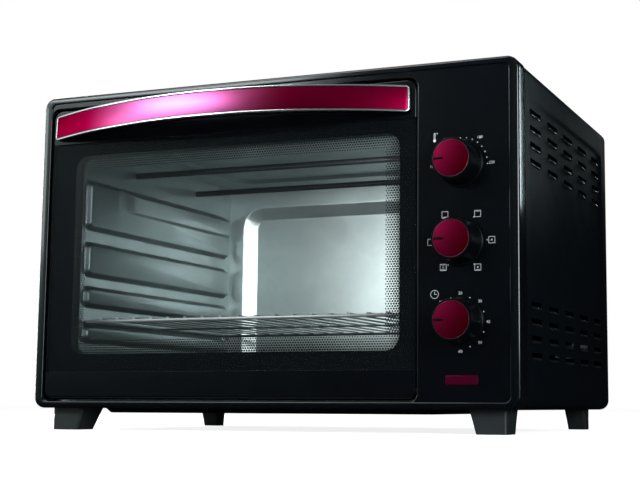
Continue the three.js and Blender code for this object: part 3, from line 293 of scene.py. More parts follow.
@dataclass(frozen=True)
class Finish:
    """Surface finish: a base colour with fine variation in tone, roughness and relief.

    Grain sizes and depths are in millimetres.
    """

    name: str
    slot: Slot
    colour: Colour
    roughness: float
    metallic: float = 0.0
    specular: float = 0.5
    coat: float = 0.0
    tone_spread: float = 0.18
    rough_spread: float = 0.12
    grain: float = 1.2
    relief: float = 0.02
    relief_strength: float = 0.25
    patch: float = 60.0
    edge: Colour = WHITE
    coat_roughness: float = 0.08

    def material(self) -> bpy.types.Material:
        """Make the finish's material, or find it when it is made.

        Returns:
            The material.
        """
        made = bpy.data.materials.get(self.name)
        if made:
            return made
        made = bpy.data.materials.new(self.name)
        made.use_nodes = True
        graph = Graph(made.node_tree)
        shader = self.surface(graph)
        graph.node("ShaderNodeOutputMaterial", {}, {"Surface": shader})
        made.diffuse_color = (*self.colour, 1.0)
        return made

    def tones(self, factor: float) -> Colour:
        """The base colour made lighter or darker."""
        return tuple(min(1.0, channel * factor) for channel in self.colour)

    def shades(self, graph: Graph, factor: Value) -> bpy.types.NodeSocket:
        """Colour between the darkest and the lightest tone of the finish."""
        return graph.mix(factor, self.tones(1 - self.tone_spread), self.tones(1 + self.tone_spread))

    def base(self, graph: Graph) -> bpy.types.NodeSocket:
        """Base colour that drifts over broad patches."""
        return self.shades(graph, graph.noise(self.patch, 3.0))

    def rough(self, graph: Graph) -> Value:
        """Roughness that varies with handling marks."""
        wear = graph.noise(self.patch / 3, 4.0)
        return (wear - 0.5) * self.rough_spread * 2 + self.roughness

    def height(self, graph: Graph) -> Value:
        """Fine relief of the surface."""
        return graph.noise(self.grain)

    def shader(self, graph: Graph, inputs: dict[str, object]) -> bpy.types.Node:
        """Principled shader with what all finishes share and the given inputs."""
        return graph.node("ShaderNodeBsdfPrincipled", {}, {
            "Base Color": self.base(graph), "Roughness": self.rough(graph),
            "Specular IOR Level": self.specular,
            "Normal": graph.bump(self.height(graph), self.relief_strength, self.relief), **inputs})

    def surface(self, graph: Graph) -> bpy.types.Node:
        """The shader of this finish."""
        return self.shader(graph, {
            "Metallic": self.metallic, "Specular Tint": (*self.edge, 1.0), "Coat Weight": self.coat,
            "Coat Roughness": self.coat_roughness})


@dataclass(frozen=True)
class Spangled(Finish):
    """Galvanised sheet: faint crystal patches over a rolled grain."""

    crystal: float = 9.0
    rolled: float = 30.0
    crystal_share: float = 0.35

    def base(self, graph: Graph) -> bpy.types.NodeSocket:
        """Crystal patches that differ slightly in tone, over a broad drift.

        Args:
            graph: The finish's tree.

        Returns:
            Socket of the colour.
        """
        cells = graph.node("ShaderNodeTexVoronoi", {"feature": "F1"}, {
            "Vector": graph.place(), "Scale": 1 / (self.crystal * MM), "Randomness": 1.0})
        tone = graph.node("ShaderNodeSeparateColor", {}, {"Color": cells.outputs["Color"]}).outputs[0]
        drift = graph.noise(self.patch, 3.0) * (1 - self.crystal_share)
        return self.shades(graph, Value(graph, tone) * self.crystal_share + drift)

    def height(self, graph: Graph) -> Value:
        """Rolled grain along the sheet."""
        return graph.noise(self.grain, where=graph.place(stretch=(1 / self.rolled, 1 / self.rolled, 1.0)))


@dataclass(frozen=True)
class Brushed(Finish):
    """Metal brushed along X."""

    run: float = 60.0

    def height(self, graph: Graph) -> Value:
        """Long fine scratches along X."""
        return graph.noise(self.grain, 3.0, graph.place(stretch=(1 / self.run, 1.0, 1.0)))

    def rough(self, graph: Graph) -> Value:
        """Roughness that follows the brushing."""
        scratch = graph.noise(self.grain * 2, where=graph.place(stretch=(1 / self.run, 1.0, 1.0)))
        return (scratch - 0.5) * self.rough_spread * 2 + self.roughness


@dataclass(frozen=True)
class RackWire(Finish):
    """Chromed wire with a painted highlight along the front rod and painted shade behind it."""

    front: float = -133.7
    # Painted highlight: near-white colour of the front rod, and how deep it reaches.
    bright: Colour = (0.95, 0.98, 0.98)
    highlight_depth: float = 1.9
    fade: float = 1.2

    def behind(self, graph: Graph) -> Value:
        """Share of the painted shade, from none on the front rod to all behind it."""
        depth = graph.axes((0.0, self.front, 0.0))[1] / MM
        return ((depth - self.highlight_depth) / self.fade).clamp()

    def base(self, graph: Graph) -> bpy.types.NodeSocket:
        """Painted highlight on the front rod, painted shade on the wires behind it."""
        return graph.mix(self.behind(graph), self.bright, super().base(graph))


@dataclass(frozen=True)
class AnodisedWithPaintedHighlight(Brushed):
    """Brushed metal with a painted highlight: its colour turns towards a paler pink round one place along X.
    """

    # Painted highlight: its pink colour, where along X it is strongest, and how far it reaches.
    highlight_tint: Colour = (0.60, 0.16, 0.43)
    highlight_x: float = -78.0
    reach: float = 130.0

    def base(self, graph: Graph) -> bpy.types.NodeSocket:
        """Colour that turns towards the painted highlight's pink round one place along X.

        Args:
            graph: The finish's tree.

        Returns:
            Socket of the colour.
        """
        along = graph.axes((self.highlight_x, 0.0, 0.0))[0] / (self.reach * MM)
        share = (1 - along * along).clamp()
        return graph.mix(share * share, super().base(graph), self.highlight_tint)


@dataclass(frozen=True)
class Spun(Finish):
    """Metal turned about an axis along Y, with fine concentric rings and painted light that is lighter
    towards its left edge.
    """

    centre: Point = (0.0, 0.0, 0.0)
    pitch: float = 0.35
    # Painted light: colour of the lit left side, its lean with height, and the radius over which it fades.
    painted_lit_side: Colour = (0.22, 0.005, 0.040)
    painted_lit_tilt: float = 0.35
    reach: float = 18.0

    def base(self, graph: Graph) -> bpy.types.NodeSocket:
        """Painted light: the colour is lighter towards the left edge and darker towards the shaded right."""
        across, _, up = graph.axes(self.centre)
        return graph.mix((0.5 - (across - up * self.painted_lit_tilt) / (2 * self.reach * MM)).clamp(),
                         super().base(graph), self.painted_lit_side)

    def radius(self, graph: Graph) -> Value:
        """Distance from the turning axis in metres."""
        across, _, up = graph.axes(self.centre)
        return (across * across + up * up).math("SQRT")

    def height(self, graph: Graph) -> Value:
        """Concentric tool marks with slightly uneven depth."""
        rings = (self.radius(graph) * (FULL_TURN / (self.pitch * MM))).math("SINE")
        return rings * 0.5 + graph.noise(self.grain) * 0.5


@dataclass(frozen=True)
class ClearGlass(Finish):
    """Tinted door glass: mostly clear, with a faint uneven film."""

    clear: float = 0.16
    film: float = 0.05

    def surface(self, graph: Graph) -> bpy.types.Node:
        """Shader whose alpha leaves the cavity in view."""
        return self.shader(graph, {"Alpha": graph.noise(self.patch, 4.0) * self.film + self.clear})


@dataclass(frozen=True)
class TintedLens(Finish):
    """Moulded translucent lens with fine prism ribs along X."""

    rib: float = 1.1
    # Painted glow: the lens gives off faint light of its own, dimmer in the grooves between its ribs.
    glow: float = 0.01
    groove: float = 0.6

    def height(self, graph: Graph) -> Value:
        """Prism ribs."""
        return (graph.axes()[0] * (FULL_TURN / (self.rib * MM))).math("SINE")

    def surface(self, graph: Graph) -> bpy.types.Node:
        """Shader with a faint painted glow, though the lens is no lamp."""
        glow = graph.mix(self.height(graph) * 0.5 + 0.5, self.tones(self.groove), self.colour)
        return self.shader(graph, {"Emission Color": glow, "Emission Strength": self.glow})


GLOSS = Finish("gloss_moulding", Slot.GLOSS, (0.0018, 0.0024, 0.0038), 0.15, coat=0.1, rough_spread=0.04,
               grain=6.0, relief=0.01, relief_strength=0.06)
PAINT = Finish("satin_casing_paint", Slot.CASING, (0.0034, 0.0048, 0.0068), 0.42, specular=0.05,
               rough_spread=0.07, grain=0.9, relief=0.02, relief_strength=0.2)
MATTE = replace(PAINT, name="matte_inner_paint", roughness=0.6, specular=0.03)
# Painted highlight: the louvre lips are a lighter copy of the casing paint.
HIGHLIGHT_LIP = Finish("louvre_lip_highlight_paint", Slot.CASING, (0.010, 0.013, 0.015), 0.2, specular=0.9, coat=0.5,
             rough_spread=0.07, grain=0.9, relief=0.01, relief_strength=0.1)
MOULDED = Finish("moulded_black", Slot.PLASTIC, (0.0016, 0.0026, 0.0032), 0.32, specular=0.07,
                 rough_spread=0.08, grain=0.7, relief=0.012, relief_strength=0.2)
FOOT = Finish("foot_black", Slot.PLASTIC, (0.016, 0.020, 0.022), 0.5, grain=0.8, relief=0.03,
              relief_strength=0.4)
RUBBER = Finish("bush_rubber_black", Slot.RUBBER, (0.012, 0.012, 0.012), 0.7, specular=0.3, grain=0.5,
                relief=0.02, relief_strength=0.4)
SHEET = Spangled("galvanised_sheet", Slot.GALVANISED, (0.58, 0.655, 0.65), 0.38, 0.85, tone_spread=0.07,
                 rough_spread=0.1, grain=0.5, relief=0.02, relief_strength=0.15)
# Painted shade: a darker copy of the galvanised sheet for the cavity's side walls.
SHADED_SIDE_SHEET = replace(SHEET, name="galvanised_side_painted_shade", colour=(0.17, 0.20, 0.203))
BACK_SHEET = replace(SHEET, name="galvanised_sheet_back", roughness=0.4, metallic=0.92)
# Painted shade: darker copies of the same sheet for the cavity floor with the crumb tray, and for the
# ceiling.
SHADED_LOW_SHEET = replace(SHEET, name="galvanised_low_painted_shade", colour=(0.05, 0.06, 0.062))
SHADED_TOP_SHEET = replace(SHEET, name="galvanised_top_painted_shade", colour=(0.16, 0.19, 0.195))
WIRE = Finish("chromed_wire", Slot.WIRE, (0.72, 0.75, 0.76), 0.3, 1.0, tone_spread=0.08, rough_spread=0.08,
              grain=1.0, relief=0.01, relief_strength=0.1, patch=25.0)
# Painted shade: the chromed rack wire is near black behind its front rod.
RACK_WIRE = RackWire("rack_wire", Slot.WIRE, (0.03, 0.035, 0.036), 0.35, 0.6, specular=0.3, tone_spread=0.08,
                     grain=1.0, relief=0.01, relief_strength=0.1, patch=25.0)
TUBE = Finish("heater_tube", Slot.HEATER, (0.004, 0.005, 0.006), 0.45, 0.2, specular=0.15, tone_spread=0.4,
              rough_spread=0.15, grain=0.9, relief=0.02, relief_strength=0.3, patch=22.0)
CERAMIC = Finish("heater_ceramic", Slot.HEATER, (0.72, 0.68, 0.60), 0.7, grain=0.6, relief=0.03,
                 relief_strength=0.3, tone_spread=0.1)
ZINC = Spangled("zinc_plated", Slot.ZINC, (0.60, 0.61, 0.58), 0.32, 0.9, tone_spread=0.12, crystal=4.0,
                grain=0.6, relief=0.02, relief_strength=0.15)
GLASS = ClearGlass("door_pane", Slot.GLASS, (0.012, 0.016, 0.017), 0.04, rough_spread=0.02, relief=0.002,
                   relief_strength=0.02, grain=40.0)
ENAMEL = Finish("enamel_dots", Slot.GLASS, (0.004, 0.006, 0.007), 0.4, specular=0.2, grain=0.6, relief=0.004)
SILVER = Brushed("bright_trim", Slot.SILVER, (0.80, 0.82, 0.83), 0.2, 1.0, tone_spread=0.05,
                 rough_spread=0.08, grain=0.35, relief=0.008, relief_strength=0.2)
RING = replace(SILVER, name="tinted_ring", slot=Slot.CRIMSON, colour=(0.30, 0.07, 0.13), roughness=0.35)
# Painted highlight: the handle inlay's colour turns pale pink left of its middle.
CRIMSON = AnodisedWithPaintedHighlight("crimson_painted_highlight", Slot.CRIMSON, (0.38, 0.001, 0.045), 0.3, 1.0, tone_spread=0.06,
                   rough_spread=0.06, grain=0.4, relief=0.008, relief_strength=0.22, edge=(0.9, 0.06, 0.4))
HOUSING = Finish("control_moulding", Slot.HOUSING, (0.30, 0.29, 0.26), 0.55, grain=0.8, relief=0.02,
                 tone_spread=0.08)
# Painted glow: the crimson lens gives off a faint light of its own.
LENS = TintedLens("lens_crimson", Slot.LENS, (0.05, 0.0005, 0.010), 0.3, specular=0.05, relief=0.04,
                  relief_strength=0.3)
BULB = Finish("lamp_amber", Slot.LAMP, (0.86, 0.52, 0.30), 0.12, coat=0.5, grain=2.0, relief=0.01,
              tone_spread=0.1)
PRINT = Finish("white_print", Slot.SILVER, (0.86, 0.88, 0.90), 0.5, tone_spread=0.06, grain=0.3, relief=0.004,
               relief_strength=0.2)


def spun_crimson(index: int, centre: Point) -> Spun:
    """Crimson finish of one dial's cap, turned about its own axis, with painted light towards its left edge.
    """
    return Spun(f"crimson_turned_painted_light_{index}", Slot.CRIMSON, (0.12, 0.0003, 0.006), 0.4, 0.95, specular=0.2,
                tone_spread=0.08, rough_spread=0.06, grain=0.6, relief=0.01, relief_strength=0.2,
                patch=14.0, edge=(0.8, 0.04, 0.2), centre=centre)


# Mesh tools


def linked(name: str, data: bpy.types.ID) -> bpy.types.Object:
    """Put data in the scene.

    Args:
        name: Name of the object.
        data: Its mesh, curve, light or camera.

    Returns:
        The new object.
    """
    thing = bpy.data.objects.new(name, data)
    bpy.context.scene.collection.objects.link(thing)
    return thing


def evaluated(thing: bpy.types.Object) -> bpy.types.Mesh:
    """Plain mesh of an object as its modifiers leave it."""
    view = bpy.context.evaluated_depsgraph_get()
    return bpy.data.meshes.new_from_object(thing.evaluated_get(view))


def plain(mesh: bmesh.types.BMesh, name: str) -> bpy.types.Mesh:
    """Turn a mesh under construction into a plain one and free it.

    Args:
        mesh: The mesh under construction.
        name: Name of the plain mesh.

    Returns:
        The plain mesh.
    """
    data = bpy.data.meshes.new(name)
    mesh.to_mesh(data)
    mesh.free()
    return data


def shaded(mesh: bpy.types.Mesh, material: bpy.types.Material) -> bpy.types.Mesh:
    """Give a mesh one material and smooth shading between its sharp edges.

    Args:
        mesh: The mesh.
        material: Its only material.

    Returns:
        The same mesh.
    """
    mesh.materials.clear()
    mesh.materials.append(material)
    for polygon in mesh.polygons:
        polygon.use_smooth = True
        polygon.material_index = 0
    mesh.set_sharp_from_angle(angle=SMOOTH_ANGLE)
    return mesh


def stood(place: Point) -> Matrix:
    """Turn from lying to upright, then a shift to a place in millimetres."""
    return Matrix.Translation(metres(*place)) @ Matrix.Rotation(FULL_TURN / 4, 4, "X")


def round_outline(centre: Flat, radius: float, count: int) -> list[Flat]:
    """Points of a circle in order."""
    turns = (FULL_TURN * k / count for k in range(count))
    return [(centre[0] + radius * math.cos(a), centre[1] + radius * math.sin(a)) for a in turns]


def quarter(steps: int) -> list[float]:
    """Angles of a quarter round."""
    return [0.25 * FULL_TURN * k / steps for k in range(steps + 1)]


def eased(share: float) -> float:
    """Share held between zero and one, with a gentle start and end."""
    held = min(max(share, 0.0), 1.0)
    return held * held * (3 - 2 * held)


def rounded(x0: float, x1: float, z0: float, z1: float, radius: float, steps: int = 8) -> list[Flat]:
    """Closed outline of a rectangle with rounded corners.

    Args:
        x0: Lowest X.
        x1: Highest X.
        z0: Lowest Z.
        z1: Highest Z.
        radius: Corner radius.
        steps: Steps in each corner.

    Returns:
        Points in order, from the lower right corner upward.
    """
    centres = [(x1 - radius, z0 + radius, -0.25), (x1 - radius, z1 - radius, 0.0),
               (x0 + radius, z1 - radius, 0.25), (x0 + radius, z0 + radius, 0.5)]
    points = []
    for cx, cz, start in centres:
        for step in range(steps + 1):
            angle = FULL_TURN * (start + 0.25 * step / steps)
            points.append((cx + radius * math.cos(angle), cz + radius * math.sin(angle)))
    return points


def upright(points: Iterable[Flat], y: float) -> list[Point]:
    """Outline in X and Z placed at a depth."""
    return [(x, y, z) for x, z in points]


class Shell:
    """Mesh under construction, with its points in millimetres."""

    def __init__(self) -> None:
        """Start empty."""
        self.mesh = bmesh.new()

    def loft(self, rings: Sequence[Iterable[Point]], closed: bool = False) -> "Shell":
        """Skin a row of outlines with equal point counts.

        Args:
            rings: Outlines, each a closed loop of points.
            closed: Whether the last outline joins the first; if not, both get a face.

        Returns:
            This shell.
        """
        rows = [[self.mesh.verts.new(Vector(point) * MM) for point in points] for points in rings]
        for low, high in zip(rows, rows[1:] + (rows[:1] if closed else [])):
            for i in range(len(low)):
                j = (i + 1) % len(low)
                self.mesh.faces.new((low[i], low[j], high[j], high[i]))
        if not closed:
            self.mesh.faces.new(reversed(rows[0]))
            self.mesh.faces.new(rows[-1])
        return self

    def lathe(self, profile: Sequence[Flat], centre: Flat, sides: int = 48) -> "Shell":
        """Turn a closed profile of radius and Y about an axis along Y.

        Args:
            profile: Radius and Y pairs; a radius of zero lies on the axis.
            centre: X and Z of the axis.
            sides: Facets round the axis.

        Returns:
            This shell.
        """
        return self.loft([upright(round_outline(centre, max(radius, POLE), sides), y)
                          for radius, y in profile])

    def tube(self, path: Sequence[Point], radius: float, sides: int = 12) -> "Shell":
        """Round bar of constant radius along a path.

        Args:
            path: Points of the bar's middle line.
            radius: Radius of the bar.
            sides: Facets round the bar.

        Returns:
            This shell.
        """
        points = [Vector(point) for point in path]
        side = (points[1] - points[0]).orthogonal().normalized()
        rings = []
        for i, point in enumerate(points):
            ahead = (points[min(i + 1, len(points) - 1)] - points[max(i - 1, 0)]).normalized()
            side = (side - ahead * side.dot(ahead)).normalized()
            other = ahead.cross(side)
            rings.append([tuple(point + radius * (math.cos(a) * side + math.sin(a) * other))
                          for a in (FULL_TURN * k / sides for k in range(sides))])
        return self.loft(rings)

    def box(self, low: Point, high: Point, edge: float, steps: int = 3) -> "Shell":
        """Block with rounded edges.

        Args:
            low: Lowest corner.
            high: Highest corner.
            edge: Edge radius.
            steps: Steps in each rounded edge.

        Returns:
            This shell.
        """
        rings = []
        turns = quarter(steps)
        for side, level, angles in ((1, high[1] - edge, turns[::-1]), (-1, low[1] + edge, turns)):
            for a in angles:
                inset = edge * (1 - math.cos(a))
                outline = rounded(low[0] + inset, high[0] - inset, low[2] + inset, high[2] - inset,
                                  max(edge - inset, SLIVER), steps)
                rings.append(upright(outline, level + side * edge * math.sin(a)))
        return self.loft(rings)

    def piece(self, name: str, finish: Finish, body: Body, replaced: Sequence[str] = (),
              flip_check: bool = True) -> bpy.types.Object:
        """Finish the mesh as an object on a body.

        Args:
            name: Name of the piece.
            finish: Its surface finish.
            body: The body it rides on.
            replaced: CAD nodes that it stands for.
            flip_check: Whether the faces are turned outwards.

        Returns:
            The new object.
        """
        bmesh.ops.remove_doubles(self.mesh, verts=self.mesh.verts, dist=WELD)
        if flip_check:
            bmesh.ops.recalc_face_normals(self.mesh, faces=self.mesh.faces)
        return settle(name, plain(self.mesh, name), finish, body, replaced)


def settle(name: str, data: bpy.types.Mesh, finish: Finish, body: Body,
           replaced: Sequence[str] = ()) -> bpy.types.Object:
    """Make a mesh an object with its finish, body and smooth shading.

    Args:
        name: Name of the piece.
        data: Its mesh, in place.
        finish: Its surface finish.
        body: The body it rides on.
        replaced: CAD nodes that it stands for.

    Returns:
        The new object.
    """
    thing = linked(name, shaded(data, finish.material()))
    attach(thing, body.value)
    if replaced:
        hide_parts(*replaced)
    log.info("%s: %d faces", name, len(data.polygons))
    return thing


def applied(thing: bpy.types.Object, kind: str, **settings: object) -> bpy.types.Mesh:
    """Mesh of a piece with one modifier applied; the piece keeps none.

    Args:
        thing: The piece.
        kind: Modifier type.
        settings: The modifier's properties.

    Returns:
        The resulting mesh.
    """
    modifier = thing.modifiers.new("step", kind)
    for key, value in settings.items():
        setattr(modifier, key, value)
    result = evaluated(thing)
    thing.modifiers.remove(modifier)
    return result


def soften(finish: Finish, radius: float, *nodes: str, steps: int = 2, low: float = 40.0,
           high: float = 100.0) -> None:
    """Let copies with rounded edges stand for CAD nodes that share a finish.

    Args:
        finish: Their finish.
        radius: Edge radius.
        nodes: Names of the nodes.
        steps: Steps in each rounded edge.
        low: Angle in degrees above which an edge is rounded.
        high: Angle in degrees below which an edge is rounded.
    """
    for node in nodes:
        source = frame["nodes"][node]
        mesh = bmesh.new()
        mesh.from_mesh(source.data)
        bmesh.ops.remove_doubles(mesh, verts=mesh.verts, dist=2 * WELD)
        bmesh.ops.dissolve_limit(mesh, angle_limit=FLAT_ANGLE, verts=mesh.verts, edges=mesh.edges)
        edges = [edge for edge in mesh.edges if edge.is_manifold
                 and low < math.degrees(edge.calc_face_angle()) < high]
        if edges:
            bmesh.ops.bevel(mesh, geom=edges, offset=radius * MM, segments=steps, profile=0.5,
                            affect="EDGES", clamp_overlap=True, harden_normals=False)
        thing = settle(f"{node}_finished", plain(mesh, node), finish, Body(source["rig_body"]), (node,))
        thing.data = applied(thing, "WEIGHTED_NORMAL", keep_sharp=True, weight=100)


# Patterns made with Geometry Nodes


class Pattern:
    """Geometry tree with named inputs that yields a plain mesh."""

    def __init__(self, name: str) -> None:
        """Start a tree with a geometry output.

        Args:
            name: Name of the tree.
        """
        self.group = bpy.data.node_groups.new(name, "GeometryNodeTree")
        self.graph = Graph(self.group)
        self.group.interface.new_socket("Geometry", in_out="OUTPUT", socket_type="NodeSocketGeometry")
        self.values: dict[str, object] = {}

    def takes(self, **inputs: object) -> dict[str, Value]:
        """Args:
            inputs: Value of each input by name; lengths are in metres.

        Returns:
            Each input as a value of the tree.
        """
        kinds = {int: "NodeSocketInt", float: "NodeSocketFloat"}
        for name, value in inputs.items():
            self.group.interface.new_socket(name, in_out="INPUT", socket_type=kinds[type(value)])
            self.values[name] = value
        entry = self.graph.node("NodeGroupInput")
        return {name: Value(self.graph, entry.outputs[name]) for name in inputs}

    def join(self, *parts: object) -> bpy.types.Node:
        """Join several geometries.

        Args:
            parts: Nodes or sockets of the geometries.

        Returns:
            The Join Geometry node.
        """
        node = self.graph.node("GeometryNodeJoinGeometry")
        for part in parts:
            self.graph.feed(node.inputs[0], part)
        return node

    def vector(self, x: object = 0.0, y: object = 0.0, z: object = 0.0) -> bpy.types.Node:
        """Vector from three values."""
        return self.graph.node("ShaderNodeCombineXYZ", {}, {"X": x, "Y": y, "Z": z})

    def copies(self, points: object, shape: object, **inputs: object) -> bpy.types.Node:
        """Place a shape at every point; further inputs turn or scale it."""
        return self.graph.node("GeometryNodeInstanceOnPoints", {}, {
            "Points": points, "Instance": shape, **inputs})

    def moved(self, shape: object, **inputs: object) -> bpy.types.Node:
        """Shift, turn or scale a geometry by the inputs given."""
        return self.graph.node("GeometryNodeTransform", {}, {"Geometry": shape, **inputs})

    def mesh(self, shape: object, finish: Finish) -> bpy.types.Mesh:
        """Realise the tree and return its result as a plain mesh.

        Args:
            shape: Node that holds the final geometry.
            finish: Finish that Set Material gives it.

        Returns:
            The mesh, without instances or modifiers.
        """
        real = self.graph.node("GeometryNodeRealizeInstances", {}, {"Geometry": shape})
        dressed = self.graph.node("GeometryNodeSetMaterial", {},
                                  {"Geometry": real, "Material": finish.material()})
        self.graph.node("NodeGroupOutput", {}, {"Geometry": dressed})
        blank = bpy.data.meshes.new(self.group.name)
        holder = linked(self.group.name, blank)
        modifier = holder.modifiers.new("pattern", "NODES")
        modifier.node_group = self.group
        for item in self.group.interface.items_tree:
            if item.item_type == "SOCKET" and item.in_out == "INPUT":
                modifier[item.identifier] = self.values[item.name]
        result = evaluated(holder)
        holder.modifiers.remove(modifier)
        bpy.data.objects.remove(holder)
        bpy.data.meshes.remove(blank)
        return result


# Sub-assemblies


@dataclass
class FrontFrame:
    """Moulded front: rim, control panel, top band and the lip round the door opening."""

    half: float = 270.0
    low: float = 23.0
    high: float = 360.0
    corner: float = 12.0
    crest: float = 3.0
    crown: float = 0.9
    crown_inset: float = 5.0
    crown_end: float = 0.4
    front: float = -170.0
    back: float = -146.0
    wall: float = 2.4
    face: float = -168.5
    thickness: float = 2.6
    rim_side: float = 10.0
    rim_end: float = 7.0
    inner_corner: float = 6.0
    inner_edge: float = 0.9
    opening: Area = (-260.0, 167.0, 30.0, 347.0)
    opening_corner: float = 9.0
    opening_edge: float = 1.1
    lip_back: float = -148.0
    overlap: float = 2.0
    lens_hole: Area = (195.2, 228.8, 45.95, 56.05)
    lens_corner: float = 2.3
    steps: int = 10
    edge_steps: int = 6

    def outer(self, inset: float) -> list[Flat]:
        """Outline of the frame, moved in."""
        return rounded(inset - self.half, self.half - inset, self.low + inset, self.high - inset,
                       self.corner - inset, self.steps)

    def inner(self, grow: float) -> list[Flat]:
        """Inner outline of the rim.

        Args:
            grow: Distance that it is grown by.

        Returns:
            Points in X and Z.
        """
        x = self.half - self.rim_side + grow
        z0, z1 = self.low + self.rim_end - grow, self.high - self.rim_end + grow
        return rounded(-x, x, z0, z1, self.inner_corner + grow, self.steps)

    def mouth(self, grow: float) -> list[Flat]:
        """Outline of the door opening, grown."""
        x0, x1, z0, z1 = self.opening
        return rounded(x0 - grow, x1 + grow, z0 - grow, z1 + grow, self.opening_corner + grow, self.steps)

    def crowned(self, points: Iterable[Flat], level: float, drop: float) -> list[Point]:
        """Outline near the front, set back further along its two upright sides.

        Args:
            points: Outline in X and Z.
            level: Distance behind the front.
            drop: Further distance on the upright sides.

        Returns:
            The points in place.
        """
        placed = []
        for x, z in points:
            near_end = min(z - self.low, self.high - z)
            share = min(max((near_end - self.crest) / self.corner, 0.0), 1.0)
            placed.append((x, self.front + level + drop * share, z))
        return placed

    def rim(self, shell: Shell) -> None:
        """Add the hollow rim with its rounded crest.

        Args:
            shell: The shell that takes it.
        """
        rings = [upright(self.outer(0), self.back)]
        for a in quarter(self.edge_steps):
            rings.append(self.crowned(self.outer(self.crest * (1 - math.cos(a))),
                                      self.crest * (1 - math.sin(a)), self.crown * math.sin(a)))
        rings.append(self.crowned(self.outer(self.crown_inset), 0.0, self.crown * self.crown_end))
        for a in quarter(self.edge_steps):
            rings.append(upright(self.inner(self.inner_edge * (1 - math.sin(a))),
                                 self.front + self.inner_edge * (1 - math.cos(a))))
        inside = self.face + self.thickness
        rings.append(upright(self.inner(0), inside))
        rings.append(upright(self.outer(self.wall), inside + self.crest))
        rings.append(upright(self.outer(self.wall), self.back))
        shell.loft(rings, closed=True)

    def lip(self, shell: Shell) -> None:
        """Add the wall that runs back from the edge of the door opening.

        Args:
            shell: The shell that takes it.
        """
        edge = self.opening_edge
        rings = [upright(self.mouth(edge * (1 - math.sin(a))), self.face + edge * (1 - math.cos(a)))
                 for a in quarter(self.edge_steps)]
        rings.append(upright(self.mouth(0), self.lip_back))
        rings.append(upright(self.mouth(self.wall), self.lip_back))
        rings.append(upright(self.mouth(self.wall), self.face + self.thickness))
        rings.append(upright(self.mouth(edge), self.face + self.thickness / 2))
        shell.loft(rings, closed=True)

    def plate(self) -> bpy.types.Mesh:
        """Flat face with its door opening and lens hole."""
        outlines = [self.inner(self.overlap), self.mouth(self.opening_edge),
                    rounded(*self.lens_hole, self.lens_corner, self.steps)]
        return flat_plate("front_plate", outlines, self.face, self.thickness)

    def build(self) -> None:
        """Make the frame as one piece."""
        shell = Shell()
        self.rim(shell)
        self.lip(shell)
        bmesh.ops.recalc_face_normals(shell.mesh, faces=shell.mesh.faces)
        plate = self.plate()
        shell.mesh.from_mesh(plate)
        bpy.data.meshes.remove(plate)
        shell.piece("front_frame", GLOSS, Body.BODY, ("front_bezel",), flip_check=False)


def flat_plate(name: str, outlines: Sequence[Sequence[Flat]], y: float, thickness: float) -> bpy.types.Mesh:
    """Plate in X and Z with holes, from its outer outline and those of its holes.

    Args:
        name: Name of the mesh.
        outlines: The outer outline first, then the holes.
        y: Depth of the front face.
        thickness: Thickness to the rear.

    Returns:
        The plate's mesh, in metres and in place.
    """
    curve = bpy.data.curves.new(name, "CURVE")
    curve.dimensions = "2D"
    curve.fill_mode = "BOTH"
    curve.extrude = thickness / 2 * MM
    for outline in outlines:
        spline = curve.splines.new("POLY")
        spline.points.add(len(outline) - 1)
        spline.use_cyclic_u = True
        for point, (x, z) in zip(spline.points, outline):
            point.co = (*metres(x, z, 0.0), 1.0)
    mesh = curve_mesh(curve)
    mesh.transform(stood((0.0, y + thickness / 2, 0.0)))
    return mesh


def curve_mesh(curve: bpy.types.Curve) -> bpy.types.Mesh:
    """Turn a curve or text into a mesh.

    Args:
        curve: The curve or text.

    Returns:
        Its mesh.
    """
    holder = linked(curve.name, curve)
    mesh = evaluated(holder)
    bpy.data.objects.remove(holder)
    return mesh


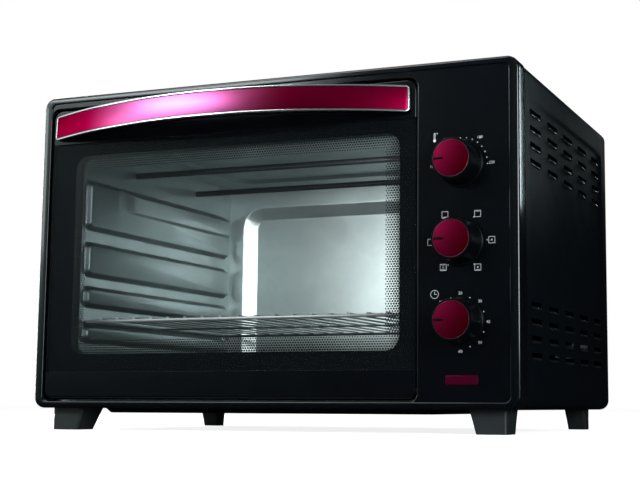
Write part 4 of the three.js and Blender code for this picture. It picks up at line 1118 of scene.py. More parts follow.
@dataclass
class Casing:
    """Louvred casing sheet, back panel, base panel and feet."""

    half: float = 269.0
    recess: float = 1.5
    lip_proud: float = 1.35
    lip_height: float = 3.0
    lip_length: float = 39.0
    slot_half: float = 2.25
    field_front: float = -134.0
    field_low: float = 62.0
    field_high: float = 330.0
    first_column: float = 33.0
    column_pitch: float = 67.0
    row_pitch: float = 16.5
    margin: float = 14.0
    columns: int = 5
    rows: int = 4
    lip_segments: int = 8
    lip_rings: int = 6
    panel_edge: float = 0.35
    foot_edge: float = 0.9
    block_edge: float = 0.4

    def lips(self) -> None:
        """Rolled lips under the louvre slots of both sides."""
        pattern = Pattern("louvre_lips")
        graph = pattern.graph
        size = pattern.takes(Columns=self.columns, Rows=self.rows, ColumnPitch=self.column_pitch * MM,
                             RowPitch=self.row_pitch * MM, LipLength=self.lip_length * MM,
                             LipRadius=self.lip_height / 2 * MM, Face=(self.half - self.recess) * MM)
        line = graph.node("GeometryNodeMeshLine", {}, {
            "Count": size["Columns"], "Offset": pattern.vector(y=size["ColumnPitch"]),
            "Start Location": metres(0.0, self.field_front + self.first_column, 0.0)})
        column = graph.node("GeometryNodeMeshLine", {}, {
            "Count": size["Rows"], "Offset": pattern.vector(z=size["RowPitch"])})
        block = graph.node("GeometryNodeRealizeInstances", {}, {"Geometry": pattern.copies(line, column)})
        drop = -self.slot_half - self.lip_height / 2
        groups = [(self.field_low + self.margin + drop) * MM,
                  (self.field_high - self.margin - (self.rows - 1) * self.row_pitch + drop) * MM]
        lip = self.lip_shape(pattern, size)
        sides = []
        for side in (-1, 1):
            for height in groups:
                shift = pattern.vector(x=size["Face"] * side, z=height)
                sides.append(pattern.copies(pattern.moved(block, Translation=shift), lip))
        # Painted highlight: the lips take a lighter copy of the casing paint.
        mesh = pattern.mesh(pattern.join(*sides), HIGHLIGHT_LIP)
        settle("louvre_lips", mesh, HIGHLIGHT_LIP, Body.BODY)

    def lip_shape(self, pattern: Pattern, size: dict[str, Value]) -> bpy.types.Node:
        """One lip: a rod along Y that thins towards both ends and is pressed flat."""
        rod = pattern.graph.node("GeometryNodeMeshUVSphere", {}, {
            "Segments": self.lip_segments, "Rings": self.lip_rings, "Radius": 1.0})
        return pattern.moved(rod, Scale=pattern.vector(
            self.lip_proud * MM, size["LipLength"] * 0.5, size["LipRadius"]))

    def build(self) -> None:
        """Make the casing, the panels and the feet."""
        soften(PAINT, self.panel_edge, "casing_wrapper", "rear_panel", low=SHARP_DEGREES)
        soften(PAINT, self.panel_edge, "base_panel")
        self.lips()
        feet = (f"foot_{corner}" for corner in ("front_left", "front_right", "rear_left", "rear_right"))
        soften(FOOT, self.foot_edge, *feet, steps=3, low=50.0)
        soften(HOUSING, self.block_edge, "terminal_block")


@dataclass
class RearFittings:
    """Screws of the back panel and the cord inlet bush."""

    seat: float = 215.3
    head: float = 3.6
    head_height: float = 2.2
    shank: float = 1.7
    shank_length: float = 8.0
    recess_length: float = 4.2
    recess_width: float = 0.8
    recess_depth: float = 1.1
    screw_reach: float = 253.0
    screw_high: float = 343.0
    screw_low: float = 39.0
    facets: int = 24
    cutter_width: float = 20.0
    cutter_height: float = 10.0
    bush: Flat = (230.0, 59.0)
    bush_seat: float = 215.0
    bush_facets: int = 40
    bush_profile: tuple[Flat, ...] = ((3.6, -4.3), (8.0, -4.3), (8.0, -1.3), (6.0, -1.3), (6.0, 0.3),
                                      (8.0, 0.3), (8.0, 1.2), (7.5, 2.2), (6.6, 3.6), (5.8, 4.6), (5.1, 5.0),
                                      (4.2, 4.8), (3.6, 4.2))

    def screw_head(self, pattern: Pattern, size: dict[str, Value]) -> bpy.types.Node:
        """Pan head with a cross recess, its shank pointing forwards.

        Args:
            pattern: The tree that takes it.
            size: The tree's named sizes.

        Returns:
            Node that holds the screw.
        """
        graph = pattern.graph
        dome = graph.node("GeometryNodeMeshUVSphere", {}, {
            "Segments": self.facets, "Rings": self.facets // 2, "Radius": 1.0})
        cap = pattern.moved(dome, Scale=pattern.vector(size["Head"], size["HeadHeight"], size["Head"]))
        rod = graph.node("GeometryNodeMeshCylinder", {}, {
            "Vertices": self.facets // 2, "Radius": size["Shank"], "Depth": self.shank_length * MM})
        shank = pattern.moved(rod, Translation=metres(0.0, -self.shank_length / 2, 0.0),
                              Rotation=(FULL_TURN / 4, 0.0, 0.0))
        below = graph.node("GeometryNodeMeshCube", {}, {
            "Size": metres(self.cutter_width, self.cutter_height, self.cutter_width)})
        cut = [pattern.moved(below, Translation=metres(0.0, -self.cutter_height / 2, 0.0))]
        for turn in (FULL_TURN / 8, -FULL_TURN / 8):
            bar = graph.node("GeometryNodeMeshCube", {}, {
                "Size": metres(self.recess_length, 2 * self.recess_depth, self.recess_width)})
            cut.append(pattern.moved(bar, Translation=metres(0.0, self.head_height, 0.0),
                                     Rotation=(0.0, turn, 0.0)))
        head = graph.node("GeometryNodeMeshBoolean", {"operation": "DIFFERENCE"}, {"Mesh 1": cap})
        for cutter in cut:
            graph.feed(head.inputs["Mesh 2"], cutter)
        return pattern.join(head, shank)

    def screws(self) -> None:
        """Screws at the corners of the back panel."""
        pattern = Pattern("panel_screws")
        size = pattern.takes(Head=self.head * MM, HeadHeight=self.head_height * MM, Shank=self.shank * MM,
                             Width=2 * self.screw_reach * MM, Height=(self.screw_high - self.screw_low) * MM)
        grid = pattern.graph.node("GeometryNodeMeshGrid", {}, {
            "Size X": size["Width"], "Size Y": size["Height"], "Vertices X": 2, "Vertices Y": 2})
        middle = metres(0.0, self.seat, (self.screw_high + self.screw_low) / 2)
        points = pattern.moved(grid, Translation=middle, Rotation=(FULL_TURN / 4, 0.0, 0.0))
        screws = pattern.copies(points, self.screw_head(pattern, size))
        settle("panel_screws", pattern.mesh(screws, ZINC), ZINC, Body.BODY,
               [f"rear_screw_{index}" for index in (1, 2, 3, 4)])

    def cord_bush(self) -> None:
        """Rubber bush with a rolled collar."""
        rings = [upright(round_outline(self.bush, radius, self.bush_facets), self.bush_seat + depth)
                 for radius, depth in self.bush_profile]
        Shell().loft(rings, closed=True).piece("cord_inlet_bush", RUBBER, Body.BODY, ("cord_bush",))

    def build(self) -> None:
        """Make the screws and the bush."""
        self.screws()
        self.cord_bush()


@dataclass
class Cavity:
    """Pressed steel cavity, crumb tray, heaters and fan."""

    left: float = -238.0
    right: float = 146.0
    heater_radius: float = 3.5
    heater_places: tuple[Flat, ...] = ((-30.502, 295.0), (109.49, 295.0), (-30.502, 68.0), (109.49, 68.0))
    names: tuple[str, ...] = ("heater_top_front", "heater_top_rear",
                              "heater_bottom_front", "heater_bottom_rear")
    gap: float = 1.3
    ceramic_radius: float = 6.0
    ceramic_length: float = 9.0
    ceramic_edge: float = 0.6
    facets: int = 24
    pin_radius: float = 1.6
    pin_length: float = 8.0
    wall_edge: Area = (-147.0, 199.0, 49.0, 314.0)
    wall_sheet: float = 1.0
    hole_radius: float = 3.8
    fields: tuple[Flat, ...] = ((93.0, 115.0), (132.0, 157.0), (166.0, 206.0), (218.0, 275.0))
    field_ends: Flat = (-134.0, 191.0)
    field_rise: float = 6.0
    field_slope: float = 6.0
    field_corner: float = 9.0
    bead: Area = (-77.0, 186.0, 245.5, 271.5)
    bead_rise: float = 2.9
    bead_slope: float = 4.5
    bead_fade: float = 34.0
    bead_corner: float = 6.0
    wall_corner: float = 0.5
    corner_steps: int = 6
    flank_steps: int = 8
    pressed_edge: float = 2.4
    sheet_edge: float = 0.3

    def raised(self, shell: Shell, area: Area, corner: float, base: float,
               rise: float, slope: float, fade: float) -> None:
        """Raised field of a side wall, with a soft flank and a hollow rear.

        Args:
            shell: The shell that takes it.
            area: Lowest and highest Y, then lowest and highest Z at its foot.
            corner: Radius of its corners at the foot.
            base: X of the foot.
            rise: Height of the field.
            slope: How far the flank leans in.
            fade: How far the front flank leans in.
        """
        y0, y1, z0, z1 = area
        front, rear = [], []
        for k in range(self.flank_steps + 1):
            t = k / self.flank_steps
            outline = rounded(y0 + fade * t, y1 - slope * t, z0 + slope * t, z1 - slope * t,
                              corner - slope * t, self.corner_steps)
            level = base + rise * eased(t)
            front.append([(level, y, z) for y, z in outline])
            rear.append([(level - self.wall_sheet, y, z) for y, z in outline])
        shell.loft(list(reversed(front)) + rear)

    def left_wall(self) -> None:
        """Left wall: flat sheet with four raised fields and a long bead on the highest."""
        areas = [(*self.field_ends, low, high) for low, high in self.fields]
        outlines = [rounded(*self.wall_edge, self.wall_corner, 2)]
        outlines += [rounded(*area, self.field_corner, self.corner_steps) for area in areas]
        outlines += [round_outline(place, self.hole_radius, self.facets) for place in self.heater_places]
        plate = flat_plate("left_sheet", outlines, -self.left, self.wall_sheet)
        plate.transform(Matrix.Rotation(FULL_TURN / 4, 4, "Z"))
        shell = Shell()
        shell.mesh.from_mesh(plate)
        bpy.data.meshes.remove(plate)
        for area in areas:
            self.raised(shell, area, self.field_corner, self.left, self.field_rise, self.field_slope,
                        self.field_slope)
        self.raised(shell, self.bead, self.bead_corner, self.left + self.field_rise, self.bead_rise,
                    self.bead_slope, self.bead_fade)
        # Painted shade: the left wall gets a darker copy of the galvanised sheet.
        shell.piece("cavity_left_pressing", SHADED_SIDE_SHEET, Body.BODY, ("cavity_left_wall",), flip_check=False)

    def heater(self, name: str, y: float, z: float) -> None:
        """Tubular heater with ceramic ends and terminal pins.

        Args:
            name: CAD node that it stands for.
            y: Depth of its axis.
            z: Height of its axis.
        """
        tube, ends = Shell(), Shell()
        start, end = self.left - self.gap, self.right + self.gap
        reach = self.ceramic_length / 2
        path = [(start - reach + (end - start + 2 * reach) * k / self.facets, y, z)
                for k in range(self.facets + 1)]
        tube.tube(path, self.heater_radius, self.facets)
        radius, edge = self.ceramic_radius, self.ceramic_edge
        for side, near in ((-1, start), (1, end)):
            tip = near + side * self.ceramic_length
            tube.tube([(tip, y, z), (tip + side * self.pin_length, y, z)], self.pin_radius, self.facets // 2)
            profile = [(POLE, near), (radius - edge, near), (radius, near + side * edge),
                       (radius, tip - side * edge), (radius - edge, tip), (POLE, tip)]
            ends.loft([[(x, *point) for point in round_outline((y, z), r, self.facets)] for r, x in profile])
        tube.piece(f"{name}_tube", TUBE, Body.BODY, (name,))
        ends.piece(f"{name}_ceramics", CERAMIC, Body.BODY)

    def build(self) -> None:
        """Make the walls, the heaters and the fan."""
        self.left_wall()
        # Painted shade: the right wall and the ceiling get darker copies of the galvanised sheet.
        walls = {"cavity_right_wall": SHADED_SIDE_SHEET, "cavity_back_wall": BACK_SHEET, "cavity_ceiling": SHADED_TOP_SHEET}
        for node, finish in walls.items():
            soften(finish, self.pressed_edge, node, steps=4, low=24.0, high=85.0)
        # Painted shade: the floor and the crumb tray get a dark copy of the galvanised sheet.
        soften(SHADED_LOW_SHEET, self.sheet_edge, "cavity_floor", "crumb_tray")
        soften(SHEET, self.sheet_edge, "cavity_front_frame", "fan_grille", "fan_impeller")
        soften(ZINC, self.sheet_edge, "fan_motor", "fan_shaft")
        for name, (y, z) in zip(self.names, self.heater_places):
            self.heater(name, y, z)


@dataclass
class WireRack:
    """Wire rack: a heavy frame with a brace, and thin wires with raised front tips."""

    left: float = -235.2
    right: float = 143.2
    near: float = -133.7
    far: float = 187.7
    height: float = 116.6
    frame_radius: float = 1.8
    wire_radius: float = 1.05
    wires: int = 17
    tip_rise: float = 0.9
    bend: float = 0.8
    corner: float = 5.0
    bend_steps: int = 5
    corner_steps: int = 6
    wire_sides: int = 8
    frame_sides: int = 12

    def build(self) -> None:
        """Bend one wire, repeat it along X, and add the frame and the brace."""
        pattern = Pattern("wire_rack")
        graph = pattern.graph
        pitch = (self.right - self.left) / (self.wires + 1)
        size = pattern.takes(Wires=self.wires, Pitch=pitch * MM, WireRadius=self.wire_radius * MM,
                             FrameRadius=self.frame_radius * MM)
        rod = self.round_bar(pattern, self.bent(pattern), size["WireRadius"], self.wire_sides)
        line = graph.node("GeometryNodeMeshLine", {}, {
            "Count": size["Wires"], "Start Location": metres(self.left + pitch, 0.0, 0.0),
            "Offset": pattern.vector(x=size["Pitch"])})
        wires = pattern.copies(line, rod)
        border = graph.node("GeometryNodeCurvePrimitiveQuadrilateral", {}, {
            "Width": (self.right - self.left) * MM, "Height": (self.far - self.near) * MM})
        soft = graph.node("GeometryNodeFilletCurve", {}, {
            "Curve": border, "Radius": self.corner * MM, "Count": self.corner_steps})
        middle_x, middle_y = (self.left + self.right) / 2, (self.near + self.far) / 2
        around = pattern.moved(soft, Translation=metres(middle_x, middle_y, self.height))
        brace = graph.node("GeometryNodeJoinGeometry")
        self.segment(pattern, brace, (self.left, middle_y, self.height), (self.right, middle_y, self.height))
        bars = [self.round_bar(pattern, item, radius, self.frame_sides)
                for item, radius in ((around, size["FrameRadius"]), (brace, size["WireRadius"]))]
        mesh = pattern.mesh(pattern.join(wires, *bars), RACK_WIRE)
        settle("rack_wires", mesh, RACK_WIRE, Body.RACK, ("wire_rack",))

    def bent(self, pattern: Pattern) -> bpy.types.Node:
        """Middle line of one wire: a short tip up at the front, a bend and the long run back.

        Args:
            pattern: The tree that takes it.

        Returns:
            Node that joins its runs.
        """
        level = self.height + self.frame_radius + self.wire_radius / 2
        front = self.near - self.frame_radius + self.wire_radius
        far = self.far + self.frame_radius
        wire = pattern.graph.node("GeometryNodeJoinGeometry")
        self.segment(pattern, wire, (0.0, front, level + self.tip_rise), (0.0, front, level + self.bend))
        self.segment(pattern, wire, (0.0, front + self.bend, level), (0.0, far, level))
        arc = pattern.graph.node("GeometryNodeCurveQuadraticBezier", {}, {
            "Resolution": self.bend_steps, "Start": metres(0.0, front, level + self.bend),
            "Middle": metres(0.0, front, level), "End": metres(0.0, front + self.bend, level)})
        pattern.graph.feed(wire.inputs[0], arc)
        return wire

    @staticmethod
    def segment(pattern: Pattern, joined: bpy.types.Node, start: Point, end: Point) -> None:
        """Add a straight run between two points to a join node."""
        run = pattern.graph.node("GeometryNodeCurvePrimitiveLine", {}, {
            "Start": metres(*start), "End": metres(*end)})
        pattern.graph.feed(joined.inputs[0], run)

    @staticmethod
    def round_bar(pattern: Pattern, curve: object, radius: Value, sides: int) -> bpy.types.Node:
        """Round bar along a curve with closed ends."""
        section = pattern.graph.node("GeometryNodeCurvePrimitiveCircle", {}, {
            "Resolution": sides, "Radius": radius})
        return pattern.graph.node("GeometryNodeCurveToMesh", {}, {
            "Curve": curve, "Profile Curve": section, "Fill Caps": True})


@dataclass
class Door:
    """Glass pane with its printed dot border, rails, pressed inner frame and stays."""

    window: Area = (-230.0, 146.5, 80.0, 294.0)
    window_corner: float = 14.0
    band: float = 15.0
    dot_pitch: float = 2.8
    dot_share: float = 0.22
    least_share: float = 0.28
    dot_depth: float = -162.95
    dot_thickness: float = 0.05
    dot_sides: int = 8
    spare_rows: int = 4
    faintest: float = 0.02
    overrun: float = 1.2
    rail_edge: float = 0.9
    frame_edge: float = 0.4
    small_edge: float = 0.3

    def dots(self) -> None:
        """Halftone dots that thin out from the window's border inwards."""
        pattern = Pattern("border_dots")
        graph = pattern.graph
        x0, x1, z0, z1 = self.window
        columns = int((x1 - x0) / self.dot_pitch) + self.spare_rows
        row_pitch = self.dot_pitch * math.sqrt(3) / 2
        rows = int((z1 - z0) / row_pitch) + self.spare_rows
        size = pattern.takes(Columns=columns, Rows=rows, Pitch=self.dot_pitch * MM, Band=self.band * MM,
                             Corner=self.window_corner * MM, HalfWidth=(x1 - x0) / 2 * MM,
                             HalfHeight=(z1 - z0) / 2 * MM, Growth=self.dot_pitch * self.dot_share * MM,
                             Smallest=self.dot_pitch * self.least_share * MM)
        grid = graph.node("GeometryNodeMeshGrid", {}, {
            "Size X": (columns - 1) * self.dot_pitch * MM, "Size Y": (rows - 1) * row_pitch * MM,
            "Vertices X": size["Columns"], "Vertices Y": size["Rows"]})
        index = Value(graph, graph.node("GeometryNodeInputIndex").outputs[0])
        odd = index.math("MODULO", float(rows)).math("MODULO", 2.0)
        shift = (odd - 0.5) * (self.dot_pitch / 2 * MM)
        staggered = graph.node("GeometryNodeSetPosition", {}, {
            "Geometry": grid, "Offset": pattern.vector(x=shift)})
        split = graph.node("ShaderNodeSeparateXYZ", {}, {"Vector": graph.node("GeometryNodeInputPosition")})
        across, up = (Value(graph, split.outputs[axis]).math("ABSOLUTE") for axis in ("X", "Y"))
        dx = (across - size["HalfWidth"] + size["Corner"]).math("MAXIMUM", 0.0)
        dz = (up - size["HalfHeight"] + size["Corner"]).math("MAXIMUM", 0.0)
        corner_depth = size["Corner"] - (dx * dx + dz * dz).math("SQRT")
        flat = (size["HalfWidth"] - across).math("MINIMUM", size["HalfHeight"] - up)
        inside = (dx * dz) > 0.0
        depth = corner_depth * inside + flat * (1 - inside)
        share = (1 - depth / size["Band"]).clamp()
        wanted = (share > self.faintest) * (depth > -self.overrun * MM)
        kept = graph.node("GeometryNodeDeleteGeometry", {"domain": "POINT"}, {
            "Geometry": staggered, "Selection": (wanted < 0.5)})
        dot = graph.node("GeometryNodeMeshCylinder", {}, {
            "Vertices": self.dot_sides, "Radius": 1.0, "Depth": self.dot_thickness * MM})
        span = size["Smallest"] + size["Growth"] * share
        placed = pattern.copies(kept, dot, Scale=pattern.vector(span, span, 1.0))
        middle = metres((x0 + x1) / 2, self.dot_depth, (z0 + z1) / 2)
        printed = pattern.moved(placed, Translation=middle, Rotation=(FULL_TURN / 4, 0.0, 0.0))
        settle("window_dots", pattern.mesh(printed, ENAMEL), ENAMEL, Body.DOOR)

    def build(self) -> None:
        """Make the door's pieces."""
        soften(GLOSS, self.rail_edge, "door_top_rail", "door_bottom_rail", steps=3, low=SHARP_DEGREES)
        soften(MATTE, self.frame_edge, "door_inner_frame", low=SHARP_DEGREES)
        soften(GLASS, self.small_edge, "door_glass", low=SHARP_DEGREES)
        for side in ("left", "right"):
            soften(ZINC, self.small_edge, f"door_stay_{side}", f"hinge_bracket_{side}")
            soften(WIRE, self.small_edge, f"hinge_pin_{side}")
        self.dots()


@dataclass
class Handle:
    """Bowed handle: black bar on two posts, bright trim and crimson inlay."""

    middle: float = -46.5
    half: float = 206.5
    low: float = 311.9
    high: float = 338.9
    arch: float = 1.5
    end_face: float = -172.2
    middle_face: float = -220.0
    trim_width: float = 2.2
    trim_depth: float = 2.0
    corner: float = 4.0
    inlay_setback: float = 0.5
    gap: float = 0.3
    thickness: float = 9.0
    lean: float = 0.052
    post_width: float = 18.0
    seat: float = -167.0
    blend_width: float = 7.0
    edge: float = 1.2
    inlay_edge: float = 0.35
    trim_edge: float = 0.5
    chamfer: float = 0.3
    least_corner: float = 0.3
    edge_room: float = 2.02
    edge_steps: int = 4
    stations: int = 72

    def face(self, x: float) -> float:
        """Depth of the handle's front face at a place along it."""
        return self.middle_face + (self.end_face - self.middle_face) * ((x - self.middle) / self.half) ** 2

    def lift(self, x: float) -> float:
        """Rise of the arch at a place along the handle."""
        return self.arch * (1 - ((x - self.middle) / self.half) ** 2)

    def places(self, inset: float) -> list[float]:
        """Stations along the handle, close together near its rounded ends."""
        half = self.half - inset
        return [self.middle - half * math.cos(math.pi * k / self.stations) for k in range(self.stations + 1)]

    def limits(self, x: float, inset: float, corner: float) -> Flat:
        """Lowest and highest Z at a station, with rounded ends.

        Args:
            x: Place along the handle.
            inset: Distance in from the handle's outline.
            corner: Radius of the ends' corners.

        Returns:
            Lowest and highest Z.
        """
        near = self.half - inset - abs(x - self.middle)
        cut = corner - math.sqrt(max(corner ** 2 - max(corner - near, 0.0) ** 2, 0.0))
        return self.low + inset + cut + self.lift(x), self.high - inset - cut + self.lift(x)

    def leaned(self, x: float, y: float, z: float, share: float = 1.0) -> Point:
        """Point moved back by the handle's lean, which grows with its height."""
        return (x, y + share * self.lean * (z - self.low - self.lift(x)), z)

    def section(self, front: float, back: float, limits: Flat, edge: float) -> list[Flat]:
        """Upright section in Y and Z with edges as round as it has room for."""
        room = min(limits[1] - limits[0], back - front) / self.edge_room
        return rounded(front, back, *limits, max(min(edge, room), SLIVER), self.edge_steps)

    def bar(self) -> None:
        """Black body of the handle with its posts."""
        rings = []
        start = self.trim_depth + self.gap
        for x in self.places(0.0):
            front = self.face(x) + start
            inner = self.half - self.post_width - abs(x - self.middle)
            back = self.seat + (front + self.thickness - self.seat) * eased(inner / self.blend_width)
            section = self.section(front, back, self.limits(x, 0.0, self.corner), self.edge)
            rings.append([self.leaned(x, y, z, (back - y) / (back - front)) for y, z in section])
        Shell().loft(rings).piece("handle_body", MOULDED, Body.DOOR, ("handle_bar",))

    def inlay(self) -> None:
        """Crimson strip, slightly crowned, inside the trim."""
        inset = self.trim_width + self.gap / 3
        rings = []
        for x in self.places(inset):
            section = self.section(self.face(x) + self.inlay_setback, self.face(x) + self.trim_depth,
                                   self.limits(x, inset, self.corner - self.trim_width), self.inlay_edge)
            rings.append([self.leaned(x, y, z) for y, z in section])
        Shell().loft(rings).piece("handle_inlay_strip", CRIMSON, Body.DOOR, ("handle_inlay",))

    def outline(self, inset: float) -> list[Flat]:
        """Closed front outline of the handle.

        Args:
            inset: Distance in from its edge.

        Returns:
            Points in X and Z, in order.
        """
        corner = max(self.corner - inset, self.least_corner)
        xs = self.places(inset)
        low = [(x, self.limits(x, inset, corner)[0]) for x in xs]
        high = [(x, self.limits(x, inset, corner)[1]) for x in reversed(xs)]
        return low + high[1:-1]

    def trim(self) -> None:
        """Bright frame round the inlay, with rounded edges."""
        width, depth, edge = self.trim_width, self.trim_depth, self.trim_edge
        cut = edge * self.chamfer
        profile = [(0.0, depth), (0.0, edge), (cut, cut), (edge, 0.0),
                   (width - edge, 0.0), (width - cut, cut), (width, edge), (width, depth)]
        rings = [[self.leaned(x, self.face(x) + deep, z) for x, z in self.outline(inset)]
                 for inset, deep in profile]
        Shell().loft(rings, closed=True).piece("handle_trim_frame", SILVER, Body.DOOR, ("handle_trim",))

    def build(self) -> None:
        """Make the bar, the inlay and the trim."""
        self.bar()
        self.inlay()
        self.trim()


@dataclass
class Dial:
    """One rotary control: knob, cap with its bright rim, and pointer."""

    name: str
    index: int
    body: Body
    x: float = 212.0
    z: float = 258.0
    back: float = -169.5
    height: float = 30.5
    skirt: float = 23.3
    skirt_height: float = 3.0
    waist: float = 21.3
    front_radius: float = 19.9
    cap: float = 17.6
    cap_depth: float = 2.2
    dome: float = 0.7
    ring: float = 0.26
    pointer_half: float = 0.95
    pointer_start: float = -16.9
    pointer_end: float = -8.0
    pointer_foot: float = 0.4
    pointer_edge: float = 0.25
    pointer_rise: float = 0.35
    pointer_gap: float = 0.25
    foot_profile: tuple[Flat, ...] = ((-0.4, 0.0), (0.0, -0.4))
    step_profile: tuple[Flat, ...] = ((0.0, 1.2), (-0.3, 0.45), (-0.9, 0.1))
    waist_profile: tuple[Flat, ...] = ((0.7, -0.1), (0.2, -0.5), (0.0, -1.2))
    lip_profile: tuple[Flat, ...] = ((0.05, 1.2), (-0.2, 0.4), (-0.6, 0.0))
    flank_shares: tuple[float, ...] = (0.25, 0.5, 0.75)
    pocket_gap: float = 0.2
    cap_seat: float = 0.3
    cap_edge: float = 0.5
    dome_reach: float = 0.97
    dome_shares: tuple[float, ...] = (0.9, 0.75, 0.6, 0.45, 0.3, 0.15, 0.0)
    slot_overrun: float = 0.3
    slot_depth: float = 3.0
    slot_edge: float = 0.2
    ring_offset: float = 0.1
    ring_proud: float = 0.02
    ring_flat: float = 0.6
    ring_sides: int = 8
    facets: int = 72

    @property
    def front(self) -> float:
        """Depth of the knob's front edge."""
        return self.back - self.height

    def knob(self) -> None:
        """Tapered grip with a skirt, a rounded lip and a pocket for the cap."""
        shell = Shell()
        top, front = self.back - self.skirt_height, self.front
        profile = [(0.0, self.back)]
        for offsets, radius, y in ((self.foot_profile, self.skirt, self.back),
                                   (self.step_profile, self.skirt, top),
                                   (self.waist_profile, self.waist, top)):
            profile += [(radius + out, y + deep) for out, deep in offsets]
        taper = self.front_radius - self.waist
        profile += [(self.waist + taper * share, top + (front - top) * share) for share in self.flank_shares]
        profile += [(self.front_radius + out, front + deep) for out, deep in self.lip_profile]
        pocket = self.cap + self.pocket_gap
        profile += [(pocket, front), (pocket, front + self.cap_depth), (0.0, front + self.cap_depth)]
        shell.lathe(profile, (self.x, self.z), self.facets)
        half = self.pointer_half
        shell.box((self.x + self.pointer_start, front - self.dome * self.pointer_rise, self.z - half),
                  (self.x + self.pointer_end, front + self.cap_depth + self.pointer_foot, self.z + half),
                  self.pointer_edge)
        shell.piece(f"{self.name}_grip", MOULDED, self.body, (f"{self.name}_knob",))

    def disc(self) -> None:
        """Domed crimson cap with a slot for the pointer."""
        seat = self.front + self.cap_depth - self.cap_seat
        profile = [(0.0, seat), (self.cap, seat), (self.cap, self.front + self.cap_edge),
                   (self.cap - self.cap_edge, self.front)]
        for share in self.dome_shares:
            profile.append((self.cap * share * self.dome_reach, self.front - self.dome * (1 - share ** 2)))
        finish = spun_crimson(self.index, (self.x, 0.0, self.z))
        cap = Shell().lathe(profile, (self.x, self.z), self.facets).piece(
            f"{self.name}_disc", finish, self.body, (f"{self.name}_cap",))
        start, end = self.pointer_start - self.slot_overrun, self.pointer_end + self.slot_overrun
        gap = self.pointer_half + self.pointer_gap
        carve(cap, Shell().box((self.x + start, self.front - self.slot_depth, self.z - gap),
                               (self.x + end, seat + self.slot_depth, self.z + gap), self.slot_edge))

    def rim(self) -> None:
        """Bright ring between the cap and the grip."""
        middle = (self.cap + self.ring_offset, self.front - self.ring_proud)
        section = [(middle[0] + self.ring * math.cos(b), middle[1] + self.ring * self.ring_flat * math.sin(b))
                   for b in (FULL_TURN * j / self.ring_sides for j in range(self.ring_sides))]
        rings = [[(self.x + r * math.cos(a), y, self.z + r * math.sin(a)) for r, y in section]
                 for a in (FULL_TURN * k / self.facets for k in range(self.facets))]
        Shell().loft(rings, closed=True).piece(f"{self.name}_ring", RING, self.body)

    def build(self) -> None:
        """Make the grip, the cap and the ring."""
        self.knob()
        self.disc()
        self.rim()


def carve(thing: bpy.types.Object, cutter: Shell) -> None:
    """Cut a closed shell out of a piece and keep the piece's shading.

    Args:
        thing: The piece that is cut.
        cutter: Closed shell that is taken away.
    """
    bmesh.ops.recalc_face_normals(cutter.mesh, faces=cutter.mesh.faces)
    data = plain(cutter.mesh, "cutter")
    tool = linked("cutter", data)
    result = applied(thing, "BOOLEAN", operation="DIFFERENCE", solver="EXACT", object=tool)
    bpy.data.objects.remove(tool)
    bpy.data.meshes.remove(data)
    thing.data = shaded(result, thing.data.materials[0])


